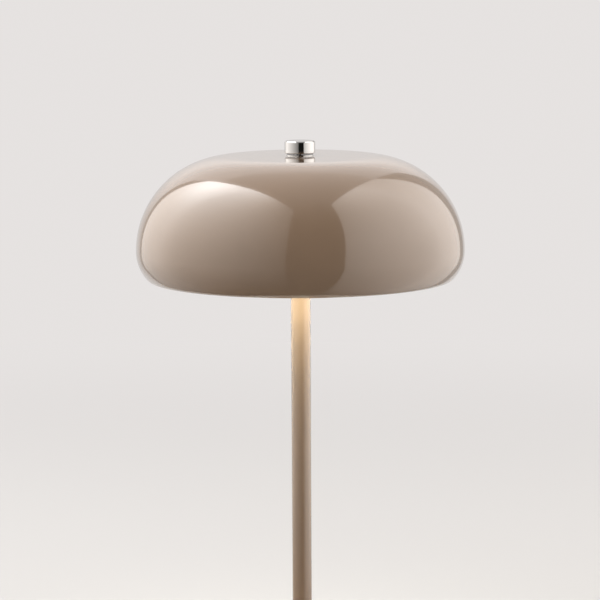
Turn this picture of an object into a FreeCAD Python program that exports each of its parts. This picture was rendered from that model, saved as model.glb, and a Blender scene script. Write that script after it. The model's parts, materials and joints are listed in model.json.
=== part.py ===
import FreeCAD, Part
import math
import os
import Sketcher

# A cordless table lamp: a spun metal mushroom shade on a slim stem, with a press-and-turn dimmer knob
# on its crown, a round opal light unit inside the shade and a weighted, rechargeable base.
# Millimetres and degrees. The origin is the middle of the footprint, +Z is up, +Y is the rear.

SIZES = [
    # Shade
    ("crown_height", 331.1, "table to the top of the shade"),
    ("shade_radius", 100.0, "widest line of the shade"),
    ("shade_wall", 1.0, "sheet of the shade"),
    ("crown_flat", 12.0, "radius of the flat seat in the middle of the crown"),
    ("crown_radius", 2000.0, "arc of the crown"),
    ("shoulder_radius", 57.5, "arc from the crown to the widest line"),
    ("lower_radius", 25.0, "arc below the widest line"),
    ("lower_sweep", 39.0, "turn of the arc below the widest line"),
    ("tuck_radius", 8.0, "arc that ends in the rim"),
    ("tuck_sweep", 20.0, "turn of the arc that ends in the rim"),
    # Knob and its collar
    ("collar_radius", 8.2, "flange of the collar on the crown"),
    ("collar_height", 0.7, "thickness of that flange"),
    ("collar_edge", 0.2, "chamfer on that flange"),
    ("sleeve_radius", 6.0, "threaded sleeve of the collar"),
    ("sleeve_length", 6.0, "sleeve below the crown"),
    ("press_gap", 0.7, "open gap between the collar and the cap"),
    ("press_travel", 0.5, "how far the knob can be pressed"),
    ("cap_radius", 9.25, "outside of the knob cap"),
    ("cap_height", 7.5, "height of the knob cap"),
    ("cap_edge", 0.6, "chamfer round the top of the cap"),
    ("cap_lower_edge", 0.4, "chamfer round the bottom of the cap"),
    ("shaft_radius", 3.0, "knob shaft"),
    ("shaft_flat", 1.5, "axis to the flat at the top of the shaft"),
    ("shaft_grip", 5.3, "length of the shaft inside the cap"),
    ("shaft_play", 0.25, "round the shaft in the collar"),
    # Dimmer under the knob
    ("bush_radius", 3.5, "threaded bush of the dimmer"),
    ("bush_length", 5.0, "height of that bush"),
    ("dimmer_width", 12.0, "dimmer housing along X"),
    ("dimmer_depth", 13.0, "dimmer housing along Y"),
    ("dimmer_plate", 1.0, "top wall of the housing"),
    ("dimmer_floor", 2.4, "base of the dimmer"),
    ("pin_length", 2.0, "terminals below the dimmer"),
    ("pin_width", 0.8, "side of a terminal"),
    ("pin_pitch", 2.5, "one terminal to the next"),
    ("rotor_radius", 5.0, "rotor turned by the shaft"),
    ("rotor_height", 2.4, "height of the rotor"),
    ("rotor_play", 0.1, "above and below the rotor and the stop"),
    ("stop_radius", 3.8, "shoulder that keeps the shaft in its bush"),
    ("stop_height", 0.8, "height of that shoulder"),
    ("tip_radius", 2.2, "shaft where it drives the rotor"),
    ("tip_flat", 1.4, "axis to the flat of the driving tip"),
    ("dome_radius", 2.3, "click dome under the shaft"),
    ("dome_rise", 0.3, "height of the click dome"),
    ("dome_well", 1.6, "depth of the well that holds the dome"),
    ("dimmer_nut_height", 1.6, "nut on the dimmer's bush"),
    ("dimmer_nut_flats", 9.0, "across the flats of that nut"),
    ("dimmer_washer_height", 0.5, "washer under that nut"),
    # Hub that carries the shade
    ("seat_margin", 0.5, "hub's edge inside the flat seat"),
    ("gasket_height", 0.5, "gasket between the hub and the shade"),
    ("hub_length", 33.5, "height of the hub"),
    ("hub_wall", 1.5, "wall round the dimmer"),
    ("neck_depth", 8.0, "threaded neck at the top of the hub"),
    ("web_height", 2.5, "web that the dimmer hangs from"),
    ("grub_radius", 1.5, "grub screws that hold the column"),
    ("grub_groove", 1.4, "depth of the groove that the grub screws bite into"),
    ("grub_drop", 3.0, "hub's lower edge to the grub screws"),
    ("grub_count", 3, "number of grub screws"),
    # Column and light unit
    ("spigot_length", 8.0, "column inside the hub"),
    ("column_wall", 2.0, "wall of the column round the stem"),
    ("column_flange", 3.0, "flange under the hub"),
    ("column_end", 1.0, "column below the ring nut"),
    ("stem_stop", 1.0, "shoulder above the stem's upper end"),
    ("wire_hole", 3.0, "radius of the wire way above the stem"),
    ("tray_radius", 57.0, "outside of the light tray"),
    ("tray_wall", 1.0, "sheet of the light tray"),
    ("tray_bend", 3.0, "outer bend of the tray's edge"),
    ("tray_lip", 8.0, "height of the tray's edge"),
    ("led_board_radius", 50.0, "board that carries the lights"),
    ("led_board_height", 1.6, "thickness of that board"),
    ("led_circle", 38.0, "radius of the ring of lights"),
    ("led_count", 24, "number of lights"),
    ("led_length", 3.5, "one light, along the radius"),
    ("led_width", 2.8, "one light, across the radius"),
    ("led_height", 0.8, "one light, thickness"),
    ("tray_screw_radius", 1.5, "screws that hold the tray and its board"),
    ("tray_screw_head", 2.75, "radius of their heads"),
    ("tray_screw_head_height", 2.0, "height of their heads"),
    ("tray_screw_length", 2.4, "thread inside the flange"),
    ("tray_screw_count", 3, "number of those screws"),
    ("screw_room", 1.2, "beside a screw head"),
    ("diffuser_recess", 9.0, "rim of the shade to the bottom of the diffuser"),
    ("diffuser_wall", 2.0, "wall of the opal diffuser"),
    ("diffuser_corner", 12.0, "rounded lower edge of the diffuser"),
    ("ring_nut_radius", 12.0, "nut that holds the diffuser"),
    ("ring_nut_height", 4.0, "height of that nut"),
    ("ring_nut_edge", 0.8, "chamfer of that nut"),
    ("ring_nut_notch", 2.0, "width of its spanner notches"),
    ("ring_nut_notch_depth", 1.6, "depth of those notches"),
    ("ring_nut_notches", 4, "number of those notches"),
    ("lead_radius", 0.6, "wires to the light board"),
    ("lead_offset", 0.9, "each wire beside the middle"),
    ("lead_drop", 1.5, "wires below the end of the cable"),
    ("lead_bend", 3.0, "bend of those wires"),
    ("lead_room", 0.6, "round the pair of wires where it passes a wall"),
    ("lead_way", 4.0, "wires beside the flange"),
    ("lead_tail", 0.8, "wires below the light board"),
    # Stem
    ("stem_radius", 6.0, "stem tube"),
    ("stem_wall", 1.0, "wall of the stem tube"),
    ("stem_tail", 1.5, "stem below its nut"),
    ("cable_radius", 1.6, "cable inside the stem"),
    ("cable_bend", 6.0, "bend of the cable below the stem"),
    ("cable_top", 2.5, "cable above the column"),
    ("foot_collar_radius", 10.0, "collar where the stem meets the base"),
    ("foot_collar_height", 4.0, "height of that collar"),
    ("foot_collar_round", 2.5, "rounding of that collar"),
    # Base
    ("base_radius", 60.0, "outside of the base"),
    ("base_height", 28.0, "table to the top of the base"),
    ("base_wall", 1.2, "sheet of the base shell"),
    ("base_flat", 12.0, "radius of the flat seat under the stem's collar"),
    ("base_crown", 260.0, "arc of the base's top"),
    ("base_shoulder", 9.0, "arc from the top to the side"),
    ("floor_gap", 1.0, "table to the lower edge of the shell"),
    ("plate_height", 2.5, "base plate"),
    ("boss_height", 4.5, "screw bosses on the base plate"),
    ("boss_radius", 4.5, "outside of those bosses"),
    ("base_screw_inset", 11.0, "base's outside to the screw circle"),
    ("base_screw_radius", 1.5, "screws of the base plate"),
    ("base_screw_head", 2.75, "radius of their heads"),
    ("base_screw_head_height", 2.3, "height of their heads"),
    ("base_screw_bite", 6.0, "thread inside the weight"),
    ("base_screw_count", 3, "number of those screws"),
    ("head_room", 0.3, "round a sunk screw head"),
    ("foot_width", 7.0, "foot ring"),
    ("foot_groove", 1.0, "depth of the groove that holds the foot ring"),
    ("foot_edge", 0.4, "chamfer of the foot ring"),
    ("weight_web", 6.0, "weight that the stem's nut clamps"),
    ("nut_flats", 19.0, "across the flats of the stem's nut"),
    ("nut_height", 6.0, "height of that nut"),
    ("nut_room", 2.0, "round the corners of that nut"),
    ("washer_height", 1.0, "washer above that nut"),
    # Battery and electronics
    ("cell_radius", 9.2, "battery cell"),
    ("cell_length", 65.0, "battery cell, with its tip"),
    ("cell_tip_radius", 3.0, "raised tip of a cell"),
    ("cell_tip_length", 1.2, "height of that tip"),
    ("cell_room", 0.5, "round a cell in the weight"),
    ("cell_lift", 0.3, "cell above the base plate"),
    ("cell_wall", 2.0, "weight between a cell and the nut's well"),
    ("cell_rear", 29.5, "rear end of the cells"),
    ("contact_height", 0.8, "thickness of a battery contact"),
    ("contact_side", 10.0, "side of a battery contact"),
    ("cradle_width", 12.0, "cradle rib under a cell"),
    ("cradle_height", 3.0, "height of a cradle rib"),
    ("cradle_wall", 2.0, "thickness of a cradle rib"),
    ("cradle_inset", 10.0, "cradle rib from the end of its cell"),
    ("board_width", 24.0, "control board along X"),
    ("board_length", 26.0, "control board along Y"),
    ("board_height", 1.6, "thickness of the control board"),
    ("board_inset", 8.0, "control board from the base's outside"),
    ("board_room", 2.0, "round the control board in the weight"),
    ("notch_height", 9.0, "notch in the weight above the control board"),
    ("post_height", 3.5, "posts that carry the control board"),
    ("post_radius", 2.2, "outside of those posts"),
    ("post_inset", 2.6, "posts from the edges of the board"),
    ("board_screw_radius", 1.0, "screws of the control board"),
    ("board_screw_head", 1.9, "radius of their heads"),
    ("board_screw_head_height", 1.3, "height of their heads"),
    ("board_screw_bite", 2.8, "thread inside a post"),
    ("plug_width", 8.0, "cable plug under the board, along X"),
    ("plug_length", 6.0, "cable plug under the board, along Y"),
    ("plug_height", 3.2, "cable plug under the board"),
    ("chip_side", 5.0, "controller chip"),
    ("chip_height", 1.0, "controller chip"),
    ("coil_side", 6.0, "charging coil on the board"),
    ("coil_height", 3.0, "charging coil on the board"),
    ("coil_corner", 1.5, "rounding of that coil"),
    ("part_offset", 6.0, "chip and coil beside the middle of the board"),
    ("socket_width", 8.94, "charging socket"),
    ("socket_height", 3.26, "charging socket"),
    ("socket_depth", 7.4, "charging socket"),
    ("socket_wall", 0.3, "sheet of the charging socket"),
    ("socket_corner", 1.3, "rounding of the socket's outside"),
    ("tongue_width", 6.7, "contact tongue in the socket"),
    ("tongue_height", 0.7, "contact tongue in the socket"),
    ("tongue_gap", 1.0, "tongue behind the mouth of the socket"),
    ("port_width", 13.2, "clear width of the charging port"),
    ("port_height", 7.2, "clear height of the charging port"),
    ("port_wall", 1.0, "wall of the port's liner"),
    ("port_back", 1.2, "rear wall of the port's liner"),
    ("port_depth", 6.0, "liner's mouth to its rear wall"),
    ("port_corner", 2.6, "rounding of the liner's outside"),
    ("lens_radius", 1.2, "charge light beside the port"),
    ("lens_gap", 2.0, "charge light beside the liner"),
    # Fits
    ("running_fit", 0.05, "clearance of pieces that turn or slide"),
    ("thread_fit", 0.05, "clearance of threads and seats"),
    ("hole_fit", 0.15, "clearance of plain holes"),
    ("free_fit", 0.4, "clearance of pieces that don't touch"),
]

doc = FreeCAD.newDocument("TableLamp")


class Size:
    """A number together with the expression on the sheet that gives it."""

    def __init__(self, value, text):
        self.value = float(value)
        self.text = text

    def __add__(self, other):
        other = sized(other)
        return Size(self.value + other.value, f"({self.text} + {other.text})")

    def __sub__(self, other):
        other = sized(other)
        return Size(self.value - other.value, f"({self.text} - {other.text})")

    def __mul__(self, other):
        other = sized(other)
        return Size(self.value * other.value, f"({self.text} * {other.text})")

    def __truediv__(self, other):
        other = sized(other)
        return Size(self.value / other.value, f"({self.text} / {other.text})")

    def __neg__(self):
        return Size(-self.value, f"(0 - {self.text})")


def sized(thing):
    return thing if isinstance(thing, Size) else Size(thing, str(thing))


def root(size):
    return Size(math.sqrt(size.value), f"sqrt({size.text})")


def sine(angle):
    return Size(math.sin(math.radians(angle.value)), f"sin({angle.text})")


def cosine(angle):
    return Size(math.cos(math.radians(angle.value)), f"cos({angle.text})")


def other_side(radius, side):
    """The second short side of a right triangle whose long side is the radius."""
    return root(radius * radius - side * side)


def along(point, distance, direction):
    """The point at a distance from another, in a direction."""
    return (point[0] + distance * direction[0], point[1] + distance * direction[1])


class Sheet:
    """The driving sizes, one row each: the number under its name, and what it measures."""

    def __init__(self, rows):
        sheet = doc.addObject("Spreadsheet::Sheet", "Sizes")
        for row, (name, value, meaning) in enumerate(rows, start=1):
            sheet.set(f"A{row}", str(value))
            sheet.setAlias(f"A{row}", name)
            sheet.set(f"B{row}", meaning)
            setattr(self, name, Size(value, f"Sizes.{name}"))
        doc.recompute()


size = Sheet(SIZES)


# Sketching

UP = FreeCAD.Vector(0, 0, 1)
ORIGIN = (-1, 1)
ACROSS, UPRIGHT = -1, -2
SIDE, PLAN, CROSS = "XZ_Plane", "XY_Plane", "YZ_Plane"


class Bend:
    """A corner of an outline that is reached along an arc: turn is 1 anticlockwise, -1 clockwise."""

    def __init__(self, corner, centre, radius, turn):
        self.corner = corner
        self.centre = centre
        self.radius = radius
        self.turn = turn


def spot(corner):
    return FreeCAD.Vector(sized(corner[0]).value, sized(corner[1]).value, 0)


def tie(sketch, kind, length, *where):
    """Add a dimension and let the sheet drive it."""
    index = sketch.addConstraint(Sketcher.Constraint(kind, *where, length.value))
    sketch.setExpression(f"Constraints[{index}]", length.text)


def pin(sketch, edge, end, corner):
    """Dimension a point from the origin, or keep it on the axis where its place is a plain 0."""
    for kind, axis, place in (("DistanceX", UPRIGHT, corner[0]), ("DistanceY", ACROSS, corner[1])):
        if isinstance(place, Size):
            tie(sketch, kind, place, *ORIGIN, edge, end)
        else:
            sketch.addConstraint(Sketcher.Constraint("PointOnObject", edge, end, axis))


def draw_edge(sketch, before, step):
    """Draw the line or arc from one corner to the next, and return its number and its two ends."""
    if not isinstance(step, Bend):
        return sketch.addGeometry(Part.LineSegment(spot(before), spot(step)), False), 1, 2
    centre = spot(step.centre)
    arms = [spot(before) - centre, spot(step.corner) - centre]
    angles = [math.atan2(arm.y, arm.x) for arm in arms][:: step.turn]
    circle = Part.Circle(centre, UP, step.radius.value)
    edge = sketch.addGeometry(Part.ArcOfCircle(circle, *angles), False)
    tie(sketch, "Radius", step.radius, edge)
    return (edge, 1, 2) if step.turn > 0 else (edge, 2, 1)


def draw(sketch, steps, closed=True):
    """Draw an outline through its corners. A closed one also joins the last corner to the first."""
    corners = [step.corner if isinstance(step, Bend) else step for step in steps]
    first = 0 if closed else 1
    edges = [draw_edge(sketch, corners[i - 1], steps[i]) for i in range(first, len(steps))]
    following = edges[1:] + edges[:1] if closed else edges[1:]
    for (edge, _, end), (after, start, _) in zip(edges, following):
        sketch.addConstraint(Sketcher.Constraint("Coincident", edge, end, after, start))
    if not closed:
        pin(sketch, edges[0][0], edges[0][1], corners[0])
    for (edge, _, end), corner in zip(edges, corners[first:]):
        pin(sketch, edge, end, corner)


def draw_circle(sketch, centre, radius):
    edge = sketch.addGeometry(Part.Circle(spot(centre), UP, radius.value), False)
    tie(sketch, "Radius", radius, edge)
    if isinstance(centre[0], Size) or isinstance(centre[1], Size):
        pin(sketch, edge, 3, centre)
    else:
        sketch.addConstraint(Sketcher.Constraint("Coincident", edge, 3, *ORIGIN))


def rectangle(centre, width, height):
    """Corners of a rectangle round a centre."""
    left, right = centre[0] - width / 2, centre[0] + width / 2
    low, high = centre[1] - height / 2, centre[1] + height / 2
    return [(left, low), (right, low), (right, high), (left, high)]


def rounded_rectangle(centre, width, height, corner):
    """A rectangle round a centre whose corners are quarter circles."""
    left, right = centre[0] - width / 2, centre[0] + width / 2
    low, high = centre[1] - height / 2, centre[1] + height / 2
    in_left, in_right = left + corner, right - corner
    in_low, in_high = low + corner, high - corner
    return [
        (in_right, low),
        Bend((right, in_low), (in_right, in_low), corner, 1),
        (right, in_high),
        Bend((in_right, high), (in_right, in_high), corner, 1),
        (in_left, high),
        Bend((left, in_high), (in_left, in_high), corner, 1),
        (left, in_low),
        Bend((in_left, low), (in_left, in_low), corner, 1),
    ]


def cut_circle(radius, flat):
    """A circle round the origin with one flat, on its +Y side."""
    half = other_side(radius, flat)
    return [(-half, flat), Bend((half, flat), (0, 0), radius, 1)]


def corner_radius(flats):
    """Middle to a corner of a hexagon, from the distance across its flats."""
    return flats / root(sized(3))


def hexagon(flats):
    """Corners of a hexagon round the origin, from the distance across its flats."""
    corner = corner_radius(flats)
    near, half = corner / 2, flats / 2
    return [(corner, 0), (near, half), (-near, half), (-corner, 0), (-near, -half), (near, -half)]


# Features

def piece(label):
    body = doc.addObject("PartDesign::Body", label)
    body.Label = label
    return body


def origin_part(body, role):
    return next(part for part in body.Origin.OriginFeatures if part.Role == role)


def sketch_on(body, plane, offset=None):
    """A sketch on one of the piece's own planes, or at an offset along that plane's normal."""
    sketch = body.newObject("Sketcher::SketchObject", f"{body.Name}_sketch")
    sketch.AttachmentSupport = [(origin_part(body, plane), "")]
    sketch.MapMode = "FlatFace"
    if offset is not None:
        sketch.setExpression("AttachmentOffset.Base.z", offset.text)
    return sketch


def outline_on(body, plane, offset, *outlines):
    sketch = sketch_on(body, plane, offset)
    for steps in outlines:
        draw(sketch, steps)
    return sketch


def circles_on(body, plane, offset, radius, *centres):
    sketch = sketch_on(body, plane, offset)
    for centre in centres:
        draw_circle(sketch, centre, radius)
    return sketch


def turn(body, *steps):
    """Turn a half section, drawn in X and Z, round the Z axis."""
    sketch = outline_on(body, SIDE, None, steps)
    feature = body.newObject("PartDesign::Revolution", f"{body.Name}_turned")
    feature.Profile = sketch
    feature.ReferenceAxis = (sketch, ["V_Axis"])
    feature.Angle = 360
    return feature


def pad(body, sketch, length, reverse=False):
    """Build a sketch up along its plane's normal, or against it."""
    feature = body.newObject("PartDesign::Pad", f"{body.Name}_pad")
    feature.Profile = sketch
    feature.setExpression("Length", length.text)
    feature.Reversed = reverse
    return feature


def pocket(body, sketch, depth=None, forward=False):
    """Cut a sketch against its plane's normal, or along it. With no depth it goes through everything."""
    doc.recompute()
    feature = body.newObject("PartDesign::Pocket", f"{body.Name}_pocket")
    feature.Profile = sketch
    feature.Reversed = forward
    if depth is None:
        feature.Type = "ThroughAll"
    else:
        feature.setExpression("Length", depth.text)
    return feature


def ring_of(body, features, count):
    """Repeat features round the Z axis."""
    doc.recompute()
    pattern = body.newObject("PartDesign::PolarPattern", f"{body.Name}_ring")
    pattern.Originals = features
    pattern.Axis = (origin_part(body, "Z_Axis"), [""])
    pattern.Angle = 360
    pattern.setExpression("Occurrences", count.text)
    body.Tip = pattern
    return pattern


def mirror(body, features):
    """Repeat features on the other side of the plane X = 0."""
    doc.recompute()
    copy = body.newObject("PartDesign::Mirrored", f"{body.Name}_mirrored")
    copy.Originals = features
    copy.MirrorPlane = (origin_part(body, CROSS), [""])
    body.Tip = copy
    return copy


def wire(body, plane, offset, route, section_plane, section_offset, centre, radius):
    """A round wire: a circle carried along a route of straight runs and arcs."""
    path = sketch_on(body, plane, offset)
    draw(path, route, closed=False)
    section = circles_on(body, section_plane, section_offset, radius, centre)
    doc.recompute()
    feature = body.newObject("PartDesign::AdditivePipe", f"{body.Name}_pipe")
    feature.Profile = section
    feature.Spine = (path, [f"Edge{number}" for number in range(1, len(route))])
    return feature


def plain_ring(label, inner, outer, bottom, top):
    body = piece(label)
    turn(body, (inner, bottom), (outer, bottom), (outer, top), (inner, top))
    return body


# Domes

class Dome:
    """Half section of a spun dome: a flat seat, then a crown arc and a shoulder arc, all tangent."""

    def __init__(self, top, flat, crown, shoulder, widest):
        self.top = top
        self.flat = flat
        self.crown = crown
        self.shoulder = shoulder
        self.widest = widest
        reach = crown - shoulder
        side = widest - shoulder - flat
        rise = other_side(reach, side)
        self.crown_centre = (flat, top - crown)
        self.equator = top - crown + rise
        self.shoulder_centre = (widest - shoulder, self.equator)
        self.meeting = (side / reach, rise / reach)

    def surface(self, inset, hole):
        """Corners from the hole in the seat out to the widest line, at an inset below the face."""
        top = self.top - inset
        crown = self.crown - inset
        return [
            (hole, top),
            (self.flat, top),
            Bend(along(self.crown_centre, crown, self.meeting), self.crown_centre, crown, -1),
            Bend((self.widest - inset, self.equator), self.shoulder_centre, self.shoulder - inset, -1),
        ]


def backwards(steps):
    """The same outline walked the other way."""
    corners = [step.corner if isinstance(step, Bend) else step for step in steps]
    result = [corners[-1]]
    for step, corner in zip(steps[:0:-1], corners[-2::-1]):
        if isinstance(step, Bend):
            corner = Bend(corner, step.centre, step.radius, -step.turn)
        result.append(corner)
    return result


SHADE = Dome(size.crown_height, size.crown_flat, size.crown_radius, size.shoulder_radius, size.shade_radius)
BASE = Dome(size.base_height, size.base_flat, size.base_crown, size.base_shoulder, size.base_radius)

lower_turn = (cosine(size.lower_sweep), -sine(size.lower_sweep))
rim_angle = size.lower_sweep + size.tuck_sweep
rim_turn = (cosine(rim_angle), -sine(rim_angle))
lower_centre = (size.shade_radius - size.lower_radius, SHADE.equator)
tuck_centre = along(lower_centre, size.lower_radius - size.tuck_radius, lower_turn)
rim_middle = along(tuck_centre, size.tuck_radius - size.shade_wall / 2, rim_turn)

# Heights from the crown down to the rim

hub_top = size.crown_height - size.shade_wall - size.gasket_height
web_top = hub_top - size.neck_depth
web_bottom = web_top - size.web_height
hub_bottom = hub_top - size.hub_length
flange_bottom = hub_bottom - size.column_flange
tray_bottom = flange_bottom - size.tray_wall
led_board_bottom = tray_bottom - size.led_board_height
diffuser_bottom = rim_middle[1] + size.diffuser_recess
ring_nut_bottom = diffuser_bottom - size.ring_nut_height
column_bottom = ring_nut_bottom - size.column_end
stem_top = hub_bottom - size.stem_stop
spigot_top = hub_bottom + size.spigot_length
cable_top = spigot_top + size.cable_top
lead_height = cable_top - size.lead_drop

# Heights inside the dimmer, and of the knob

stop_top = web_bottom - size.dimmer_plate - size.rotor_play
stop_bottom = stop_top - size.stop_height
rotor_top = stop_bottom - size.press_travel - size.rotor_play
rotor_bottom = rotor_top - size.rotor_height
housing_bottom = rotor_bottom - size.rotor_play
dimmer_bottom = housing_bottom - size.dimmer_floor
well_bottom = housing_bottom - size.dome_well
shaft_bottom = well_bottom + size.dome_rise + size.press_travel + size.running_fit
collar_top = size.crown_height + size.collar_height
cap_bottom = collar_top + size.press_gap
cap_top = cap_bottom + size.cap_height
shaft_top = cap_bottom + size.shaft_grip
bush_top = web_bottom + size.bush_length

# Heights in the base

plate_top = size.floor_gap + size.plate_height
weight_bottom = plate_top + size.boss_height
shell_inside = size.base_height - size.base_wall
well_top = shell_inside - size.weight_web
washer_bottom = well_top - size.washer_height
nut_bottom = washer_bottom - size.nut_height
stem_bottom = nut_bottom - size.stem_tail
cell_height = plate_top + size.cell_lift + size.cell_radius
board_bottom = plate_top + size.post_height
board_top = board_bottom + size.board_height
socket_middle = board_top + size.socket_height / 2
plug_bottom = board_bottom - size.plug_height
cable_height = plug_bottom + size.plug_height / 2
groove_top = size.floor_gap + size.foot_groove

# Radii and places that several pieces share

hub_radius = size.crown_flat - size.seat_margin
hub_bore = hub_radius - size.hub_wall
neck_radius = size.sleeve_radius + size.thread_fit
web_hole = size.bush_radius + size.hole_fit
spigot_radius = hub_bore - size.thread_fit
groove_radius = spigot_radius - size.grub_groove
grub_height = hub_bottom + size.grub_drop
column_radius = size.stem_radius + size.column_wall
column_bore = size.stem_radius + size.thread_fit
column_hole = column_radius + size.hole_fit
tray_screw_circle = column_radius + size.screw_room + size.tray_screw_head
flange_radius = tray_screw_circle + size.tray_screw_head + size.screw_room
lead_circle = flange_radius + size.lead_way
lead_hole = size.lead_offset + size.lead_radius + size.lead_room
diffuser_radius = size.tray_radius - size.tray_wall - size.thread_fit
well_radius = corner_radius(size.nut_flats) + size.nut_room
base_inside = size.base_radius - size.base_wall
inner_radius = base_inside - size.free_fit
base_screw_circle = size.base_radius - size.base_screw_inset
cell_side = well_radius + size.cell_wall + size.cell_room + size.cell_radius
cell_front = size.cell_rear - size.cell_length
board_rear = size.base_radius - size.board_inset
board_middle = board_rear - size.board_length / 2
board_front = board_rear - size.board_length
post_side = size.board_width / 2 - size.post_inset
post_rear = board_front + size.post_inset
plug_middle = board_middle - size.plug_length / 2
liner_width = size.port_width + size.port_wall * 2
liner_height = size.port_height + size.port_wall * 2
liner_mouth = other_side(size.base_radius, liner_width / 2)
liner_floor = liner_mouth - size.port_depth
liner_back = liner_floor - size.port_back
lens_side = liner_width / 2 + size.lens_gap + size.lens_radius
lens_mouth = other_side(size.base_radius, lens_side)


# Knob and dimmer

def make_knob_cap():
    """Turned cap with chamfered edges and a blind hole with a flat for the shaft."""
    body = piece("knob_cap")
    turn(
        body,
        (0, cap_bottom),
        (size.cap_radius - size.cap_lower_edge, cap_bottom),
        (size.cap_radius, cap_bottom + size.cap_lower_edge),
        (size.cap_radius, cap_top - size.cap_edge),
        (size.cap_radius - size.cap_edge, cap_top),
        (0, cap_top),
    )
    hole = outline_on(body, PLAN, cap_bottom, cut_circle(size.shaft_radius, size.shaft_flat))
    pocket(body, hole, size.shaft_grip, forward=True)


def make_knob_shaft():
    """Shaft with a flat for the cap, a shoulder under the bush and a flat tip that drives the rotor."""
    body = piece("knob_shaft")
    turn(
        body,
        (0, shaft_bottom),
        (size.tip_radius, shaft_bottom),
        (size.tip_radius, stop_bottom),
        (size.stop_radius, stop_bottom),
        (size.stop_radius, stop_top),
        (size.shaft_radius, stop_top),
        (size.shaft_radius, shaft_top),
        (0, shaft_top),
    )
    flats = (
        (cap_bottom, size.shaft_radius, size.shaft_flat, size.shaft_grip),
        (shaft_bottom, size.tip_radius, size.tip_flat, stop_bottom - shaft_bottom),
    )
    for bottom, radius, flat, length in flats:
        side = [(-radius, flat), (radius, flat), (radius, radius), (-radius, radius)]
        pocket(body, outline_on(body, PLAN, bottom, side), length, forward=True)


def make_knob_collar():
    """Flanged bush that clamps the shade down onto its hub and lets the shaft through."""
    body = piece("knob_collar")
    bore = size.shaft_radius + size.shaft_play
    bottom = size.crown_height - size.sleeve_length
    turn(
        body,
        (bore, bottom),
        (size.sleeve_radius, bottom),
        (size.sleeve_radius, size.crown_height),
        (size.collar_radius, size.crown_height),
        (size.collar_radius, collar_top - size.collar_edge),
        (size.collar_radius - size.collar_edge, collar_top),
        (bore, collar_top),
    )


def make_dimmer_housing():
    """Housing with a threaded bush on top, bored for the shaft and hollow below for the rotor."""
    body = piece("dimmer_housing")
    height = web_bottom - housing_bottom
    block = rectangle((sized(0), sized(0)), size.dimmer_width, size.dimmer_depth)
    pad(body, outline_on(body, PLAN, housing_bottom, block), height)
    pad(body, circles_on(body, PLAN, web_bottom, size.bush_radius, (0, 0)), size.bush_length)
    pocket(body, circles_on(body, PLAN, bush_top, size.shaft_radius + size.running_fit, (0, 0)))
    room = circles_on(body, PLAN, housing_bottom, size.rotor_radius + size.hole_fit, (0, 0))
    pocket(body, room, height - size.dimmer_plate, forward=True)


def make_dimmer_base():
    """Floor of the dimmer with the click dome's well and three terminals below."""
    body = piece("dimmer_base")
    block = rectangle((sized(0), sized(0)), size.dimmer_width, size.dimmer_depth)
    pad(body, outline_on(body, PLAN, dimmer_bottom, block), size.dimmer_floor)
    row = (size.dimmer_depth - size.pin_width) / 2
    sides = (-size.pin_pitch, sized(0), size.pin_pitch)
    pins = [rectangle((side, -row), size.pin_width, size.pin_width) for side in sides]
    pad(body, outline_on(body, PLAN, dimmer_bottom, *pins), size.pin_length, reverse=True)
    well = circles_on(body, PLAN, housing_bottom, size.stop_radius, (0, 0))
    pocket(body, well, size.dome_well)


def make_dimmer_rotor():
    """Disc with a hole that fits the shaft's flat tip, so that it turns with the shaft."""
    body = piece("dimmer_rotor")
    sketch = circles_on(body, PLAN, rotor_bottom, size.rotor_radius, (0, 0))
    draw(sketch, cut_circle(size.tip_radius + size.running_fit, size.tip_flat + size.running_fit))
    pad(body, sketch, size.rotor_height)


def make_click_dome():
    """Shallow sprung dome that clicks under the shaft."""
    body = piece("click_dome")
    radius = (size.dome_radius * size.dome_radius + size.dome_rise * size.dome_rise) / (size.dome_rise * 2)
    top = well_bottom + size.dome_rise
    turn(
        body,
        (0, well_bottom),
        (size.dome_radius, well_bottom),
        Bend((0, top), (0, top - radius), radius, 1),
    )


def make_dimmer_fixings():
    """Washer and hexagon nut that hang the dimmer from the hub's web."""
    hole = size.bush_radius + size.thread_fit
    top = web_top + size.dimmer_washer_height
    plain_ring("dimmer_washer", hole, size.dimmer_nut_flats / 2, web_top, top)
    body = piece("dimmer_nut")
    sketch = outline_on(body, PLAN, top, hexagon(size.dimmer_nut_flats))
    draw_circle(sketch, (0, 0), hole)
    pad(body, sketch, size.dimmer_nut_height)


# Shade and hub

def make_shade():
    """Spun dome: crown, shoulder and turned-in lower edge of one sheet, with a rounded rim."""
    body = piece("shade")

    def face(inset):
        return SHADE.surface(inset, size.sleeve_radius + size.hole_fit) + [
            Bend(
                along(lower_centre, size.lower_radius - inset, lower_turn),
                lower_centre,
                size.lower_radius - inset,
                -1,
            ),
            Bend(
                along(tuck_centre, size.tuck_radius - inset, rim_turn),
                tuck_centre,
                size.tuck_radius - inset,
                -1,
            ),
        ]

    half_wall = size.shade_wall / 2
    lip = Bend(along(rim_middle, half_wall, (rim_turn[1], -rim_turn[0])), rim_middle, half_wall, -1)
    inside = backwards(face(size.shade_wall))
    inside[0] = Bend(inside[0], rim_middle, half_wall, -1)
    turn(body, *face(sized(0)), lip, *inside)


def make_hub_gasket():
    top = hub_top + size.gasket_height
    plain_ring("hub_gasket", size.sleeve_radius + size.hole_fit, hub_radius, hub_top, top)


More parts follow.
